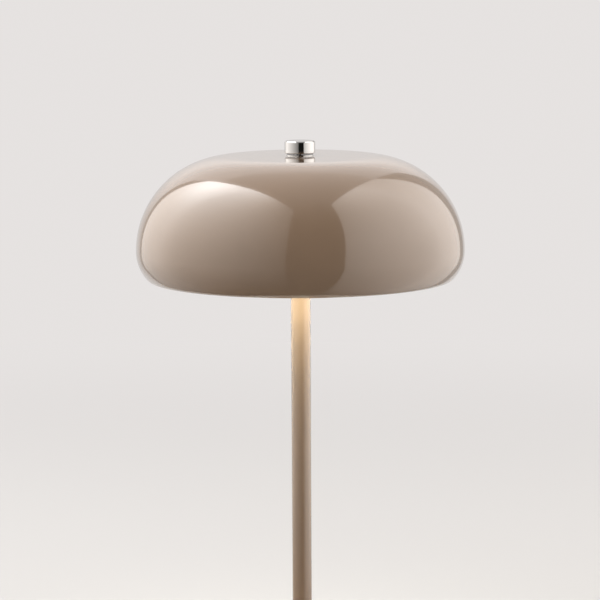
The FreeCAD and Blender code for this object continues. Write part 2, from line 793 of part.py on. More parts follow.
def make_shade_hub():
    """Turned post under the crown: threaded neck, web for the dimmer, hollow below for the column."""
    body = piece("shade_hub")
    turn(
        body,
        (neck_radius, hub_top),
        (neck_radius, web_top),
        (web_hole, web_top),
        (web_hole, web_bottom),
        (hub_bore, web_bottom),
        (hub_bore, hub_bottom),
        (hub_radius, hub_bottom),
        (hub_radius, hub_top),
    )
    pocket(body, circles_on(body, CROSS, None, lead_hole, (0, lead_height)), forward=True)
    hole = circles_on(body, CROSS, None, size.grub_radius + size.thread_fit, (0, grub_height))
    ring_of(body, [pocket(body, hole, forward=True)], size.grub_count)


def make_hub_grub_screws():
    """Headless screws through the hub's wall into the groove of the column."""
    body = piece("hub_grub_screws")
    sketch = circles_on(body, CROSS, groove_radius, size.grub_radius, (0, grub_height))
    ring_of(body, [pad(body, sketch, hub_radius - groove_radius)], size.grub_count)


# Column and light unit

def front_of(circle):
    """The place on a circle straight in front of the axis."""
    return (0, -circle)


def make_stem_column():
    """Turned column that joins the stem to the hub: spigot, flange for the tray, threaded lower end."""
    body = piece("stem_column")
    groove_half = size.grub_radius + size.thread_fit
    turn(
        body,
        (size.wire_hole, spigot_top),
        (size.wire_hole, stem_top),
        (column_bore, stem_top),
        (column_bore, column_bottom),
        (column_radius, column_bottom),
        (column_radius, flange_bottom),
        (flange_radius, flange_bottom),
        (flange_radius, hub_bottom),
        (spigot_radius, hub_bottom),
        (spigot_radius, grub_height - groove_half),
        (groove_radius, grub_height - groove_half),
        (groove_radius, grub_height + groove_half),
        (spigot_radius, grub_height + groove_half),
        (spigot_radius, spigot_top),
    )
    hole_radius = size.tray_screw_radius + size.thread_fit
    hole = circles_on(body, PLAN, flange_bottom, hole_radius, front_of(tray_screw_circle))
    cut = pocket(body, hole, size.tray_screw_length, forward=True)
    ring_of(body, [cut], size.tray_screw_count)


def make_led_tray():
    """Spun tray with a turned-down edge that holds the diffuser."""
    body = piece("led_tray")
    lip_bottom = flange_bottom - size.tray_lip
    bend_middle = (size.tray_radius - size.tray_bend, flange_bottom - size.tray_bend)
    inner_bend = size.tray_bend - size.tray_wall
    inner_side = size.tray_radius - size.tray_wall
    turn(
        body,
        (column_hole, flange_bottom),
        (bend_middle[0], flange_bottom),
        Bend((size.tray_radius, bend_middle[1]), bend_middle, size.tray_bend, -1),
        (size.tray_radius, lip_bottom),
        (inner_side, lip_bottom),
        (inner_side, bend_middle[1]),
        Bend((bend_middle[0], tray_bottom), bend_middle, inner_bend, 1),
        (column_hole, tray_bottom),
    )
    cut_screw_holes(body, flange_bottom)


def cut_screw_holes(body, top):
    """Holes for the tray screws and for the wires to the light board."""
    pocket(body, circles_on(body, PLAN, top, lead_hole, (lead_circle, 0)))
    hole_radius = size.tray_screw_radius + size.hole_fit
    hole = circles_on(body, PLAN, top, hole_radius, front_of(tray_screw_circle))
    ring_of(body, [pocket(body, hole)], size.tray_screw_count)


def make_led_board():
    """Round board under the tray."""
    body = piece("led_board")
    sketch = circles_on(body, PLAN, led_board_bottom, size.led_board_radius, (0, 0))
    draw_circle(sketch, (0, 0), column_hole)
    pad(body, sketch, size.led_board_height)
    cut_screw_holes(body, tray_bottom)


def make_led_chips():
    """Ring of lights on the underside of the board."""
    body = piece("led_chips")
    chip = rectangle((size.led_circle, sized(0)), size.led_length, size.led_width)
    sketch = outline_on(body, PLAN, led_board_bottom, chip)
    ring_of(body, [pad(body, sketch, size.led_height, reverse=True)], size.led_count)


def make_tray_screws():
    """Screws that hold the board and the tray up against the column's flange."""
    body = piece("tray_screws")
    place = front_of(tray_screw_circle)
    head = circles_on(body, PLAN, led_board_bottom, size.tray_screw_head, place)
    shank = circles_on(body, PLAN, led_board_bottom, size.tray_screw_radius, place)
    length = flange_bottom - led_board_bottom + size.tray_screw_length - size.hole_fit
    head_pad = pad(body, head, size.tray_screw_head_height, reverse=True)
    ring_of(body, [head_pad, pad(body, shank, length)], size.tray_screw_count)


def make_diffuser():
    """Opal dish with a rounded lower edge, open at the top and holed for the column."""
    body = piece("diffuser")
    floor = diffuser_bottom + size.diffuser_wall
    inner_side = diffuser_radius - size.diffuser_wall
    inner_corner = size.diffuser_corner - size.diffuser_wall
    corner_middle = (diffuser_radius - size.diffuser_corner, diffuser_bottom + size.diffuser_corner)
    top = flange_bottom - size.tray_bend
    turn(
        body,
        (column_hole, diffuser_bottom),
        (corner_middle[0], diffuser_bottom),
        Bend((diffuser_radius, corner_middle[1]), corner_middle, size.diffuser_corner, 1),
        (diffuser_radius, top),
        (inner_side, top),
        (inner_side, corner_middle[1]),
        Bend((corner_middle[0], floor), corner_middle, inner_corner, -1),
        (column_hole, floor),
    )


def make_diffuser_nut():
    """Ring nut on the column's lower end, with notches for a spanner."""
    body = piece("diffuser_nut")
    bore = column_radius + size.thread_fit
    turn(
        body,
        (bore, ring_nut_bottom),
        (size.ring_nut_radius - size.ring_nut_edge, ring_nut_bottom),
        (size.ring_nut_radius, ring_nut_bottom + size.ring_nut_edge),
        (size.ring_nut_radius, diffuser_bottom),
        (bore, diffuser_bottom),
    )
    middle = (size.ring_nut_radius, sized(0))
    notch = rectangle(middle, size.ring_nut_notch_depth * 2, size.ring_nut_notch)
    sketch = outline_on(body, PLAN, ring_nut_bottom, notch)
    ring_of(body, [pocket(body, sketch, forward=True)], size.ring_nut_notches)


def make_led_leads():
    """Two wires from the cable's end, out through the hub and down to the light board."""
    body = piece("led_leads")
    bottom = led_board_bottom - size.lead_tail
    start = size.cable_radius + size.running_fit
    bend_side = lead_circle - size.lead_bend
    bend_low = lead_height - size.lead_bend
    route = [
        (start, lead_height),
        (bend_side, lead_height),
        Bend((lead_circle, bend_low), (bend_side, bend_low), size.lead_bend, -1),
        (lead_circle, bottom),
    ]
    for side in (size.lead_offset, -size.lead_offset):
        wire(body, SIDE, -side, route, CROSS, start, (side, lead_height), size.lead_radius)


# Stem

def make_stem_tube():
    plain_ring("stem_tube", size.stem_radius - size.stem_wall, size.stem_radius, stem_bottom, stem_top)


def make_stem_cable():
    """Cable from the plug under the control board, along the base and up inside the stem."""
    body = piece("stem_cable")
    plug_face = plug_middle - size.plug_length / 2
    bend_high = cable_height + size.cable_bend
    route = [
        (plug_face, cable_height),
        (size.cable_bend, cable_height),
        Bend((0, bend_high), (size.cable_bend, bend_high), size.cable_bend, -1),
        (0, cable_top),
    ]
    wire(body, CROSS, None, route, SIDE, -plug_face, (0, cable_height), size.cable_radius)


def make_stem_foot():
    """Rounded collar fixed on the stem, which stands on the base."""
    body = piece("stem_foot")
    bore = size.stem_radius + size.thread_fit
    top = size.base_height + size.foot_collar_height
    rounding = size.foot_collar_round
    middle = (size.foot_collar_radius - rounding, top - rounding)
    turn(
        body,
        (bore, size.base_height),
        (size.foot_collar_radius, size.base_height),
        (size.foot_collar_radius, middle[1]),
        Bend((middle[0], top), middle, rounding, 1),
        (bore, top),
    )


# Base

def make_base_shell():
    """Low spun dome with a straight side, pierced at the rear for the charging port and its light."""
    body = piece("base_shell")
    hole = size.stem_radius + size.hole_fit
    inside = backwards(BASE.surface(size.base_wall, hole))
    turn(
        body,
        *BASE.surface(sized(0), hole),
        (size.base_radius, size.floor_gap),
        (base_inside, size.floor_gap),
        *inside,
    )
    clear = size.hole_fit * 2
    liner = (sized(0), socket_middle)
    corner = size.port_corner + size.hole_fit
    slot = rounded_rectangle(liner, liner_width + clear, liner_height + clear, corner)
    pocket(body, outline_on(body, SIDE, None, slot))
    pocket(body, circles_on(body, SIDE, None, size.lens_radius + size.hole_fit, (lens_side, socket_middle)))


def make_base_weight():
    """Cast weight under the shell: well for the stem's nut, slots for the cells, notch for the board."""
    body = piece("base_weight")
    hole = size.stem_radius + size.hole_fit
    inset = size.base_wall + size.free_fit
    crown = BASE.surface(inset, size.base_flat)[1:]
    turn(
        body,
        (hole, shell_inside),
        (size.base_flat - size.seat_margin, shell_inside),
        (size.base_flat - size.seat_margin, size.base_height - inset),
        *crown,
        (inner_radius, weight_bottom),
        (well_radius, weight_bottom),
        (well_radius, well_top),
        (hole, well_top),
    )
    clear = (size.cell_room + size.contact_height) * 2
    slot_middle = (cell_side, cell_front + size.cell_length / 2)
    slot = rectangle(slot_middle, (size.cell_radius + size.cell_room) * 2, size.cell_length + clear)
    cut = pocket(body, outline_on(body, PLAN, weight_bottom, slot), forward=True)
    mirror(body, [cut])
    notch_front = board_front - size.board_room
    notch_side = size.board_width / 2 + size.board_room
    notch = [
        (-notch_side, notch_front),
        (notch_side, notch_front),
        (notch_side, size.base_radius),
        (-notch_side, size.base_radius),
    ]
    pocket(body, outline_on(body, PLAN, weight_bottom, notch), size.notch_height, forward=True)
    hole_radius = size.base_screw_radius + size.thread_fit
    screw_hole = circles_on(body, PLAN, weight_bottom, hole_radius, front_of(base_screw_circle))
    cut = pocket(body, screw_hole, size.base_screw_bite + size.free_fit, forward=True)
    ring_of(body, [cut], size.base_screw_count)


def make_stem_fixings():
    """Washer and hexagon nut that clamp the weight and the shell against the stem's collar."""
    hole = size.stem_radius + size.thread_fit
    plain_ring("stem_washer", hole, size.nut_flats / 2, washer_bottom, well_top)
    body = piece("stem_nut")
    sketch = outline_on(body, PLAN, nut_bottom, hexagon(size.nut_flats))
    draw_circle(sketch, (0, 0), hole)
    pad(body, sketch, size.nut_height)


def make_battery():
    """Two round cells beside the stem, each with a raised tip, and a contact at each end."""
    tip_front = size.cell_rear - size.cell_tip_length
    for label, side in (("battery_cell_left", -cell_side), ("battery_cell_right", cell_side)):
        body = piece(label)
        can = circles_on(body, SIDE, -cell_front, size.cell_radius, (side, cell_height))
        pad(body, can, size.cell_length - size.cell_tip_length, reverse=True)
        tip = circles_on(body, SIDE, -tip_front, size.cell_tip_radius, (side, cell_height))
        pad(body, tip, size.cell_tip_length, reverse=True)
    body = piece("battery_contacts")
    square = rectangle((cell_side, cell_height), size.contact_side, size.contact_side)
    for end, rearward in ((cell_front, False), (size.cell_rear, True)):
        contact = pad(body, outline_on(body, SIDE, -end, square), size.contact_height, reverse=rearward)
        mirror(body, [contact])


def make_base_plate():
    """Moulded plate with the foot's groove, screw bosses, cell cradles and posts for the board."""
    body = piece("base_plate")
    groove_inner = base_screw_circle - size.foot_width / 2
    groove_outer = base_screw_circle + size.foot_width / 2
    turn(
        body,
        (0, size.floor_gap),
        (groove_inner, size.floor_gap),
        (groove_inner, groove_top),
        (groove_outer, groove_top),
        (groove_outer, size.floor_gap),
        (inner_radius, size.floor_gap),
        (inner_radius, plate_top),
        (0, plate_top),
    )
    posts = [(-post_side, post_rear), (post_side, post_rear)]
    pad(body, circles_on(body, PLAN, plate_top, size.post_radius, *posts), size.post_height)
    rib_places = (cell_front + size.cradle_inset, size.cell_rear - size.cradle_inset)
    ribs = [
        rectangle((side, place), size.cradle_width, size.cradle_wall)
        for side in (-cell_side, cell_side)
        for place in rib_places
    ]
    pad(body, outline_on(body, PLAN, plate_top, *ribs), size.cradle_height)
    saddle = size.cell_radius + size.hole_fit
    cells = [(-cell_side, cell_height), (cell_side, cell_height)]
    cut_front = circles_on(body, SIDE, None, saddle, *cells)
    pocket(body, cut_front)
    cut_rear = circles_on(body, SIDE, None, saddle, *cells)
    pocket(body, cut_rear, forward=True)
    pilot = circles_on(body, PLAN, board_bottom, size.board_screw_radius + size.thread_fit, *posts)
    pocket(body, pilot, size.board_screw_bite + size.hole_fit)
    place = front_of(base_screw_circle)
    boss = pad(body, circles_on(body, PLAN, plate_top, size.boss_radius, place), size.boss_height)
    shank = circles_on(body, PLAN, weight_bottom, size.base_screw_radius + size.hole_fit, place)
    head = circles_on(body, PLAN, groove_top, size.base_screw_head + size.head_room, place)
    drilled = pocket(body, shank)
    sunk = pocket(body, head, size.base_screw_head_height + size.head_room, forward=True)
    ring_of(body, [boss, drilled, sunk], size.base_screw_count)


def make_base_screws():
    """Screws sunk above the foot ring, through the plate's bosses into the weight."""
    body = piece("base_screws")
    place = front_of(base_screw_circle)
    head_bottom = groove_top + size.head_room
    head_top = head_bottom + size.base_screw_head_height
    head = circles_on(body, PLAN, head_bottom, size.base_screw_head, place)
    shank = circles_on(body, PLAN, head_top, size.base_screw_radius, place)
    head_pad = pad(body, head, size.base_screw_head_height)
    length = weight_bottom - head_top + size.base_screw_bite
    ring_of(body, [head_pad, pad(body, shank, length)], size.base_screw_count)


def make_foot_ring():
    """Soft ring in the plate's groove, which the lamp stands on."""
    body = piece("foot_ring")
    inner = base_screw_circle - size.foot_width / 2 + size.thread_fit
    outer = base_screw_circle + size.foot_width / 2 - size.thread_fit
    turn(
        body,
        (inner + size.foot_edge, 0),
        (outer - size.foot_edge, 0),
        (outer, size.foot_edge),
        (outer, groove_top),
        (inner, groove_top),
        (inner, size.foot_edge),
    )


# Charging port and control board

def make_control_board():
    body = piece("control_board")
    outline = rectangle((sized(0), board_middle), size.board_width, size.board_length)
    sketch = outline_on(body, PLAN, board_bottom, outline)
    for side in (-post_side, post_side):
        draw_circle(sketch, (side, post_rear), size.board_screw_radius + size.hole_fit)
    pad(body, sketch, size.board_height)


def make_board_parts():
    """Controller chip and coil on the board, cable plug below it."""
    body = piece("board_parts")
    chip_place = (-size.part_offset, board_middle - size.chip_side / 2)
    coil_place = (size.part_offset, board_middle - size.coil_side / 2)
    chip = rectangle(chip_place, size.chip_side, size.chip_side)
    pad(body, outline_on(body, PLAN, board_top, chip), size.chip_height)
    coil = rounded_rectangle(coil_place, size.coil_side, size.coil_side, size.coil_corner)
    pad(body, outline_on(body, PLAN, board_top, coil), size.coil_height)
    plug = rectangle((sized(0), plug_middle), size.plug_width, size.plug_length)
    pad(body, outline_on(body, PLAN, board_bottom, plug), size.plug_height, reverse=True)


def make_board_screws():
    """Screws that hold the control board down on its posts."""
    body = piece("board_screws")
    for side in (-post_side, post_side):
        head = circles_on(body, PLAN, board_top, size.board_screw_head, (side, post_rear))
        shank = circles_on(body, PLAN, board_top, size.board_screw_radius, (side, post_rear))
        pad(body, head, size.board_screw_head_height)
        pad(body, shank, size.board_height + size.board_screw_bite, reverse=True)


def make_charge_socket():
    """Sheet metal socket with a rounded mouth and a contact tongue inside."""
    body = piece("charge_socket")
    middle = (sized(0), socket_middle)
    rear = liner_floor - size.socket_depth
    outside = rounded_rectangle(middle, size.socket_width, size.socket_height, size.socket_corner)
    pad(body, outline_on(body, SIDE, -rear, outside), size.socket_depth, reverse=True)
    width = size.socket_width - size.socket_wall * 2
    height = size.socket_height - size.socket_wall * 2
    inner_corner = size.socket_corner - size.socket_wall
    mouth = outline_on(body, SIDE, -liner_floor, rounded_rectangle(middle, width, height, inner_corner))
    pocket(body, mouth, size.socket_depth - size.socket_wall, forward=True)
    floor = rear + size.socket_wall
    tongue = outline_on(body, SIDE, -floor, rectangle(middle, size.tongue_width, size.tongue_height))
    pad(body, tongue, size.socket_depth - size.socket_wall - size.tongue_gap, reverse=True)


def make_port_liner():
    """Moulded liner of the charging port, with a rear wall that frames the socket."""
    body = piece("port_liner")
    middle = (sized(0), socket_middle)
    outside = rounded_rectangle(middle, liner_width, liner_height, size.port_corner)
    pad(body, outline_on(body, SIDE, -liner_back, outside), liner_mouth - liner_back, reverse=True)
    inner_corner = size.port_corner - size.port_wall
    clear = rounded_rectangle(middle, size.port_width, size.port_height, inner_corner)
    pocket(body, outline_on(body, SIDE, -liner_mouth, clear), size.port_depth, forward=True)
    width = size.socket_width + size.thread_fit * 2
    height = size.socket_height + size.thread_fit * 2
    window = rounded_rectangle(middle, width, height, size.socket_corner + size.thread_fit)
    pocket(body, outline_on(body, SIDE, -liner_floor, window), forward=True)


def make_charge_lens():
    """Clear rod that carries the charge light to the outside."""
    body = piece("charge_lens")
    sketch = circles_on(body, SIDE, -board_rear, size.lens_radius, (lens_side, socket_middle))
    pad(body, sketch, lens_mouth - board_rear, reverse=True)


# Building

SMALLEST_CUT = 1e-6


def build():
    make_knob_cap()
    make_knob_shaft()
    make_knob_collar()
    make_dimmer_housing()
    make_dimmer_base()
    make_dimmer_rotor()
    make_click_dome()
    make_dimmer_fixings()
    make_shade()
    make_hub_gasket()
    make_shade_hub()
    make_hub_grub_screws()
    make_stem_column()
    make_led_tray()
    make_led_board()
    make_led_chips()
    make_tray_screws()
    make_diffuser()
    make_diffuser_nut()
    make_led_leads()
    make_stem_tube()
    make_stem_cable()
    make_stem_foot()
    make_base_shell()
    make_base_weight()
    make_stem_fixings()
    make_battery()
    make_base_plate()
    make_base_screws()
    make_foot_ring()
    make_control_board()
    make_board_parts()
    make_board_screws()
    make_charge_socket()
    make_port_liner()
    make_charge_lens()
    doc.recompute()


def check():
    """Stop if a feature failed, a cut removed nothing, or a piece isn't a valid solid."""
    for item in doc.Objects:
        if any(word in item.State for word in ("Invalid", "Error")):
            raise RuntimeError(f"{item.Name} failed: {item.State}")
        if item.TypeId == "PartDesign::Pocket":
            if item.BaseFeature.Shape.Volume - item.Shape.Volume < SMALLEST_CUT:
                raise RuntimeError(f"{item.Name} cuts nothing")
    for body in bodies():
        if body.Shape.isNull() or not body.Shape.isValid() or not body.Shape.Solids:
            raise RuntimeError(f"{body.Label} has no valid solid")


def bodies():
    return [item for item in doc.Objects if item.TypeId == "PartDesign::Body"]


def write():
    os.makedirs("parts", exist_ok=True)
    for body in bodies():
        body.Shape.exportStep(os.path.join("parts", body.Label + ".step"))


build()
check()
write()
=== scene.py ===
import json
import math

import bmesh
import bpy
import numpy as np
from bpy.props import FloatProperty, FloatVectorProperty, IntProperty, PointerProperty
from mathutils import Euler, Matrix, Vector


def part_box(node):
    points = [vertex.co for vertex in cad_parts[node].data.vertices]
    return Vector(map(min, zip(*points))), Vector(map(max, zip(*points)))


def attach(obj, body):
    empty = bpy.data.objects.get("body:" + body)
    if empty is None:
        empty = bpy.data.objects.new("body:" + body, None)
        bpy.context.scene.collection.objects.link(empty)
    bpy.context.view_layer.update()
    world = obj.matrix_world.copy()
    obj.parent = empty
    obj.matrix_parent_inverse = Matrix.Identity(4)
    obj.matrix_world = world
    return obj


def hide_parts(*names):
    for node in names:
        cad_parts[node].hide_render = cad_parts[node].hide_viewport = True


bl_info = {
    "name": "Cordless Mushroom Lamp",
    "version": (1, 0, 0),
    "blender": (4, 5, 0),
    "location": "View3D > Sidebar > Lamp",
    "description": "Dresses the packed parts of a cordless mushroom lamp and sets up its studio",
    "category": "Object",
}

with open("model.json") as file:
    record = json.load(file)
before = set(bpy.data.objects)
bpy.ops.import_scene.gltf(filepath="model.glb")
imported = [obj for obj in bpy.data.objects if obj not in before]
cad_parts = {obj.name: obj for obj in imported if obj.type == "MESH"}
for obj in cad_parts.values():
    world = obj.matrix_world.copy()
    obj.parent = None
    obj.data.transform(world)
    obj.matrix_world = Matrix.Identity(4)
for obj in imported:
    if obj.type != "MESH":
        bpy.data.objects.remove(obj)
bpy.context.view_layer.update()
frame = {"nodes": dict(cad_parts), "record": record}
NODE_SLOT = {part["node"]: part["material_slot"] for part in frame["record"]["subparts"]}
MM = 0.001

# Tolerances in metres
SAME_PLACE = 1e-8
ON_AXIS = 1e-9
MERGE_DISTANCE = 1e-6

# Points along the arcs of the shade and the base, and rows up the base's side
CROWN_STEPS = 20
SHOULDER_STEPS = 44
LOWER_STEPS = 22
TUCK_STEPS = 10
EDGE_STEPS = 5
LIP_STEPS = 17
BASE_STEPS = 24
SIDE_ROWS = 12

# Columns of the base's side, from its rear, where the port's cell and the charge light's cell end
PORT_REACH = 7
LIGHT_REACH = 11

# Points on a corner of the port and loops over its lip
CORNER_POINTS = 12
LIP_LOOPS = 9

# Grids of the studio, and the rounds that find a leaning panel's top edge
FLOOR_COLUMNS = 128
COVE_STEPS = 24
PANEL_COLUMNS = 72
PANEL_ROWS = 40
EDGE_ROUNDS = 12

# Elevations of the light panels in degrees: the inner edge of their floor parts, where their light ends,
# and the height at which their radiance is given
PANEL_INNER = -86.0
PANEL_RATED = 30.0


def low(node):
    """Lowest corner of a node's box."""
    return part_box(node)[0]


def high(node):
    """Highest corner of a node's box."""
    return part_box(node)[1]


def extent(node):
    """Bottom, top and radius of a node that is round about the Z axis."""
    return low(node).z, high(node).z, high(node).x


def length(name, value, description):
    """A length in metres that the user can change."""
    return FloatProperty(
        name=name, description=description, default=value, min=0.0, precision=5, unit="LENGTH"
    )


def angle(name, degrees, description):
    """An angle that the user can change, given here in degrees."""
    turn = math.radians(degrees)
    return FloatProperty(name=name, description=description, default=turn, subtype="ANGLE")


def amount(name, value, description):
    """A plain number that the user can change."""
    return FloatProperty(name=name, description=description, default=value, min=0.0, precision=4)


def face_count(name, value, description):
    """A number of faces that the user can change."""
    return IntProperty(name=name, description=description, default=value, min=24, subtype="UNSIGNED")


def colour(name, value, description):
    """A colour that the user can change, as linear red, green and blue."""
    return FloatVectorProperty(
        name=name, description=description, default=value, size=3, min=0.0, max=1.0, subtype="COLOR"
    )


class LampSizes(bpy.types.PropertyGroup):
    """Sizes of the pieces that are drawn here in place of their plain solids."""

    shade_wall: length("Shade wall", 1.0 * MM, "Sheet of the shade")
    shade_hole: length("Shade hole", 6.15 * MM, "Radius of the hole in the crown")
    crown_flat: length("Crown flat", 12.0 * MM, "Radius of the flat seat on the crown")
    crown_radius: length("Crown arc", 2000.0 * MM, "Arc of the crown")
    shoulder_radius: length("Shoulder arc", 57.5 * MM, "Arc from the crown to the widest line")
    lower_radius: length("Lower arc", 25.0 * MM, "Arc below the widest line")
    lower_sweep: angle("Lower turn", 39.0, "Turn of the arc below the widest line")
    tuck_radius: length("Tuck arc", 8.0 * MM, "Arc that ends in the rim")
    tuck_sweep: angle("Tuck turn", 20.0, "Turn of the arc that ends in the rim")
    cap_edge: length("Cap edge", 0.6 * MM, "Chamfer round the top of the knob cap")
    cap_lower_edge: length("Cap lower edge", 0.4 * MM, "Chamfer round the bottom of the knob cap")
    cap_bore: length("Cap bore", 3.02 * MM, "Radius of the hole for the shaft")
    cap_bore_depth: length("Cap bore depth", 5.3 * MM, "Depth of the hole for the shaft")
    collar_bore: length("Collar bore", 3.25 * MM, "Radius of the hole through the collar")
    sleeve_radius: length("Sleeve", 6.0 * MM, "Outside of the collar's sleeve")
    collar_edge: length("Collar edge", 0.2 * MM, "Chamfer round the collar's flange")
    crisp_edge: length("Crisp edge", 0.12 * MM, "Rounding of a polished edge")
    soft_edge: length("Soft edge", 0.35 * MM, "Rounding of a lacquered or moulded edge")
    stem_wall: length("Stem wall", 1.0 * MM, "Wall of the stem tube")
    foot_round: length("Foot rounding", 2.5 * MM, "Rounding of the collar at the foot of the stem")
    tray_wall: length("Tray wall", 1.0 * MM, "Sheet of the light tray")
    tray_bend: length("Tray bend", 3.0 * MM, "Outer bend of the tray's edge")
    column_hole: length("Column hole", 8.15 * MM, "Hole for the column in the tray and the diffuser")
    diffuser_wall: length("Diffuser wall", 2.0 * MM, "Wall of the opal diffuser")
    diffuser_corner: length("Diffuser corner", 12.0 * MM, "Rounded lower edge of the diffuser")
    light_circle: length("Ring of lights", 38.0 * MM, "Radius of the lights behind the diffuser")
    light_band: length("Band of light", 18.0 * MM, "Half width of the lit band on the diffuser")
    base_wall: length("Base wall", 1.2 * MM, "Sheet of the base shell")
    base_flat: length("Base flat", 12.0 * MM, "Radius of the flat seat on the base")
    base_crown: length("Base crown", 260.0 * MM, "Arc of the base's top")
    base_shoulder: length("Base shoulder", 9.0 * MM, "Arc from the base's top to its side")
    base_hole: length("Base hole", 6.15 * MM, "Radius of the stem's hole in the base")
    foot_width: length("Foot width", 6.9 * MM, "Width of the foot ring")
    foot_edge: length("Foot edge", 0.4 * MM, "Chamfer of the foot ring")
    port_wall: length("Port wall", 1.0 * MM, "Wall of the charging port's liner")
    port_back: length("Port back", 1.2 * MM, "Rear wall of that liner")
    port_corner: length("Port corner", 2.6 * MM, "Rounding of the liner's outside")
    port_gap: length("Port gap", 0.15 * MM, "Shell's clearance round the liner and the charge light")
    socket_gap: length("Socket gap", 0.05 * MM, "Liner's clearance round the socket")
    socket_corner: length("Socket corner", 1.3 * MM, "Rounding of the socket's outside")
    columns: face_count("Columns", 288, "Faces round a large turned piece")
    fine_columns: face_count("Fine columns", 144, "Faces round a small turned piece")


class LampColours(bpy.types.PropertyGroup):
    """Colours of the finishes."""

    lacquer: colour("Lacquer", (0.288, 0.202, 0.139), "Taupe lacquer of the shade, stem and base")
    lacquer_deep: colour("Lacquer, deep", (0.271, 0.190, 0.130), "That lacquer where it lies thicker")
    inside: colour("Shade inside", (0.83, 0.81, 0.77), "White enamel inside the shade")
    chrome: colour("Chrome", (0.62, 0.615, 0.61), "Polished chrome of the knob")
    # Painted shade: a near-black colour painted over the gap under the knob cap, where shade falls
    painted_gap_shade: colour("Undercut", (0.045, 0.04, 0.038), "Blackened faces in the gap under the knob cap")
    opal: colour("Opal", (0.90, 0.87, 0.80), "Opal diffuser")
    glow: colour("Glow", (1.0, 0.965, 0.75), "Warm light of the lamp")
    steel: colour("Steel", (0.56, 0.56, 0.57), "Bright steel fixings")
    dark_steel: colour("Dark steel", (0.06, 0.06, 0.065), "Blackened screws")
    aluminium: colour("Aluminium", (0.72, 0.72, 0.74), "Turned aluminium")
    white_metal: colour("White metal", (0.80, 0.79, 0.76), "White painted metal of the light unit")
    cast_iron: colour("Cast iron", (0.085, 0.085, 0.09), "Cast weight")
    black_plastic: colour("Black plastic", (0.028, 0.028, 0.03), "Moulded black plastic")
    white_board: colour("White board", (0.82, 0.82, 0.80), "Mask of the light board")
    green_board: colour("Green board", (0.015, 0.12, 0.05), "Mask of the control board")
    copper: colour("Copper", (0.70, 0.40, 0.20), "Tracks of the boards")
    phosphor: colour("Phosphor", (0.88, 0.70, 0.18), "Faces of the lights")
    wire: colour("Wire", (0.04, 0.04, 0.04), "Insulation of the wires")
    cell_wrap: colour("Cell wrap", (0.05, 0.13, 0.33), "Shrink sleeve of the cells")
    rubber: colour("Rubber", (0.035, 0.035, 0.036), "Foot ring and gasket")
    lens: colour("Lens", (0.86, 0.88, 0.88), "Charge light")
    panel: colour("Panels", (1.0, 0.95, 0.905), "Warm cloth of the light panels")
    panel_hot: colour("Panels, hot", (1.0, 0.99, 0.98), "The same cloth where it is brightest")
    backdrop: colour("Backdrop", (1.0, 0.965, 0.95), "Tint of the studio wall and the sky")
    floor: colour("Floor", (0.43, 0.42, 0.41), "Studio floor, as it lights the lamp")
    floor_seen: colour("Floor, seen", (0.58, 0.58, 0.58), "Studio floor, as the camera sees it")


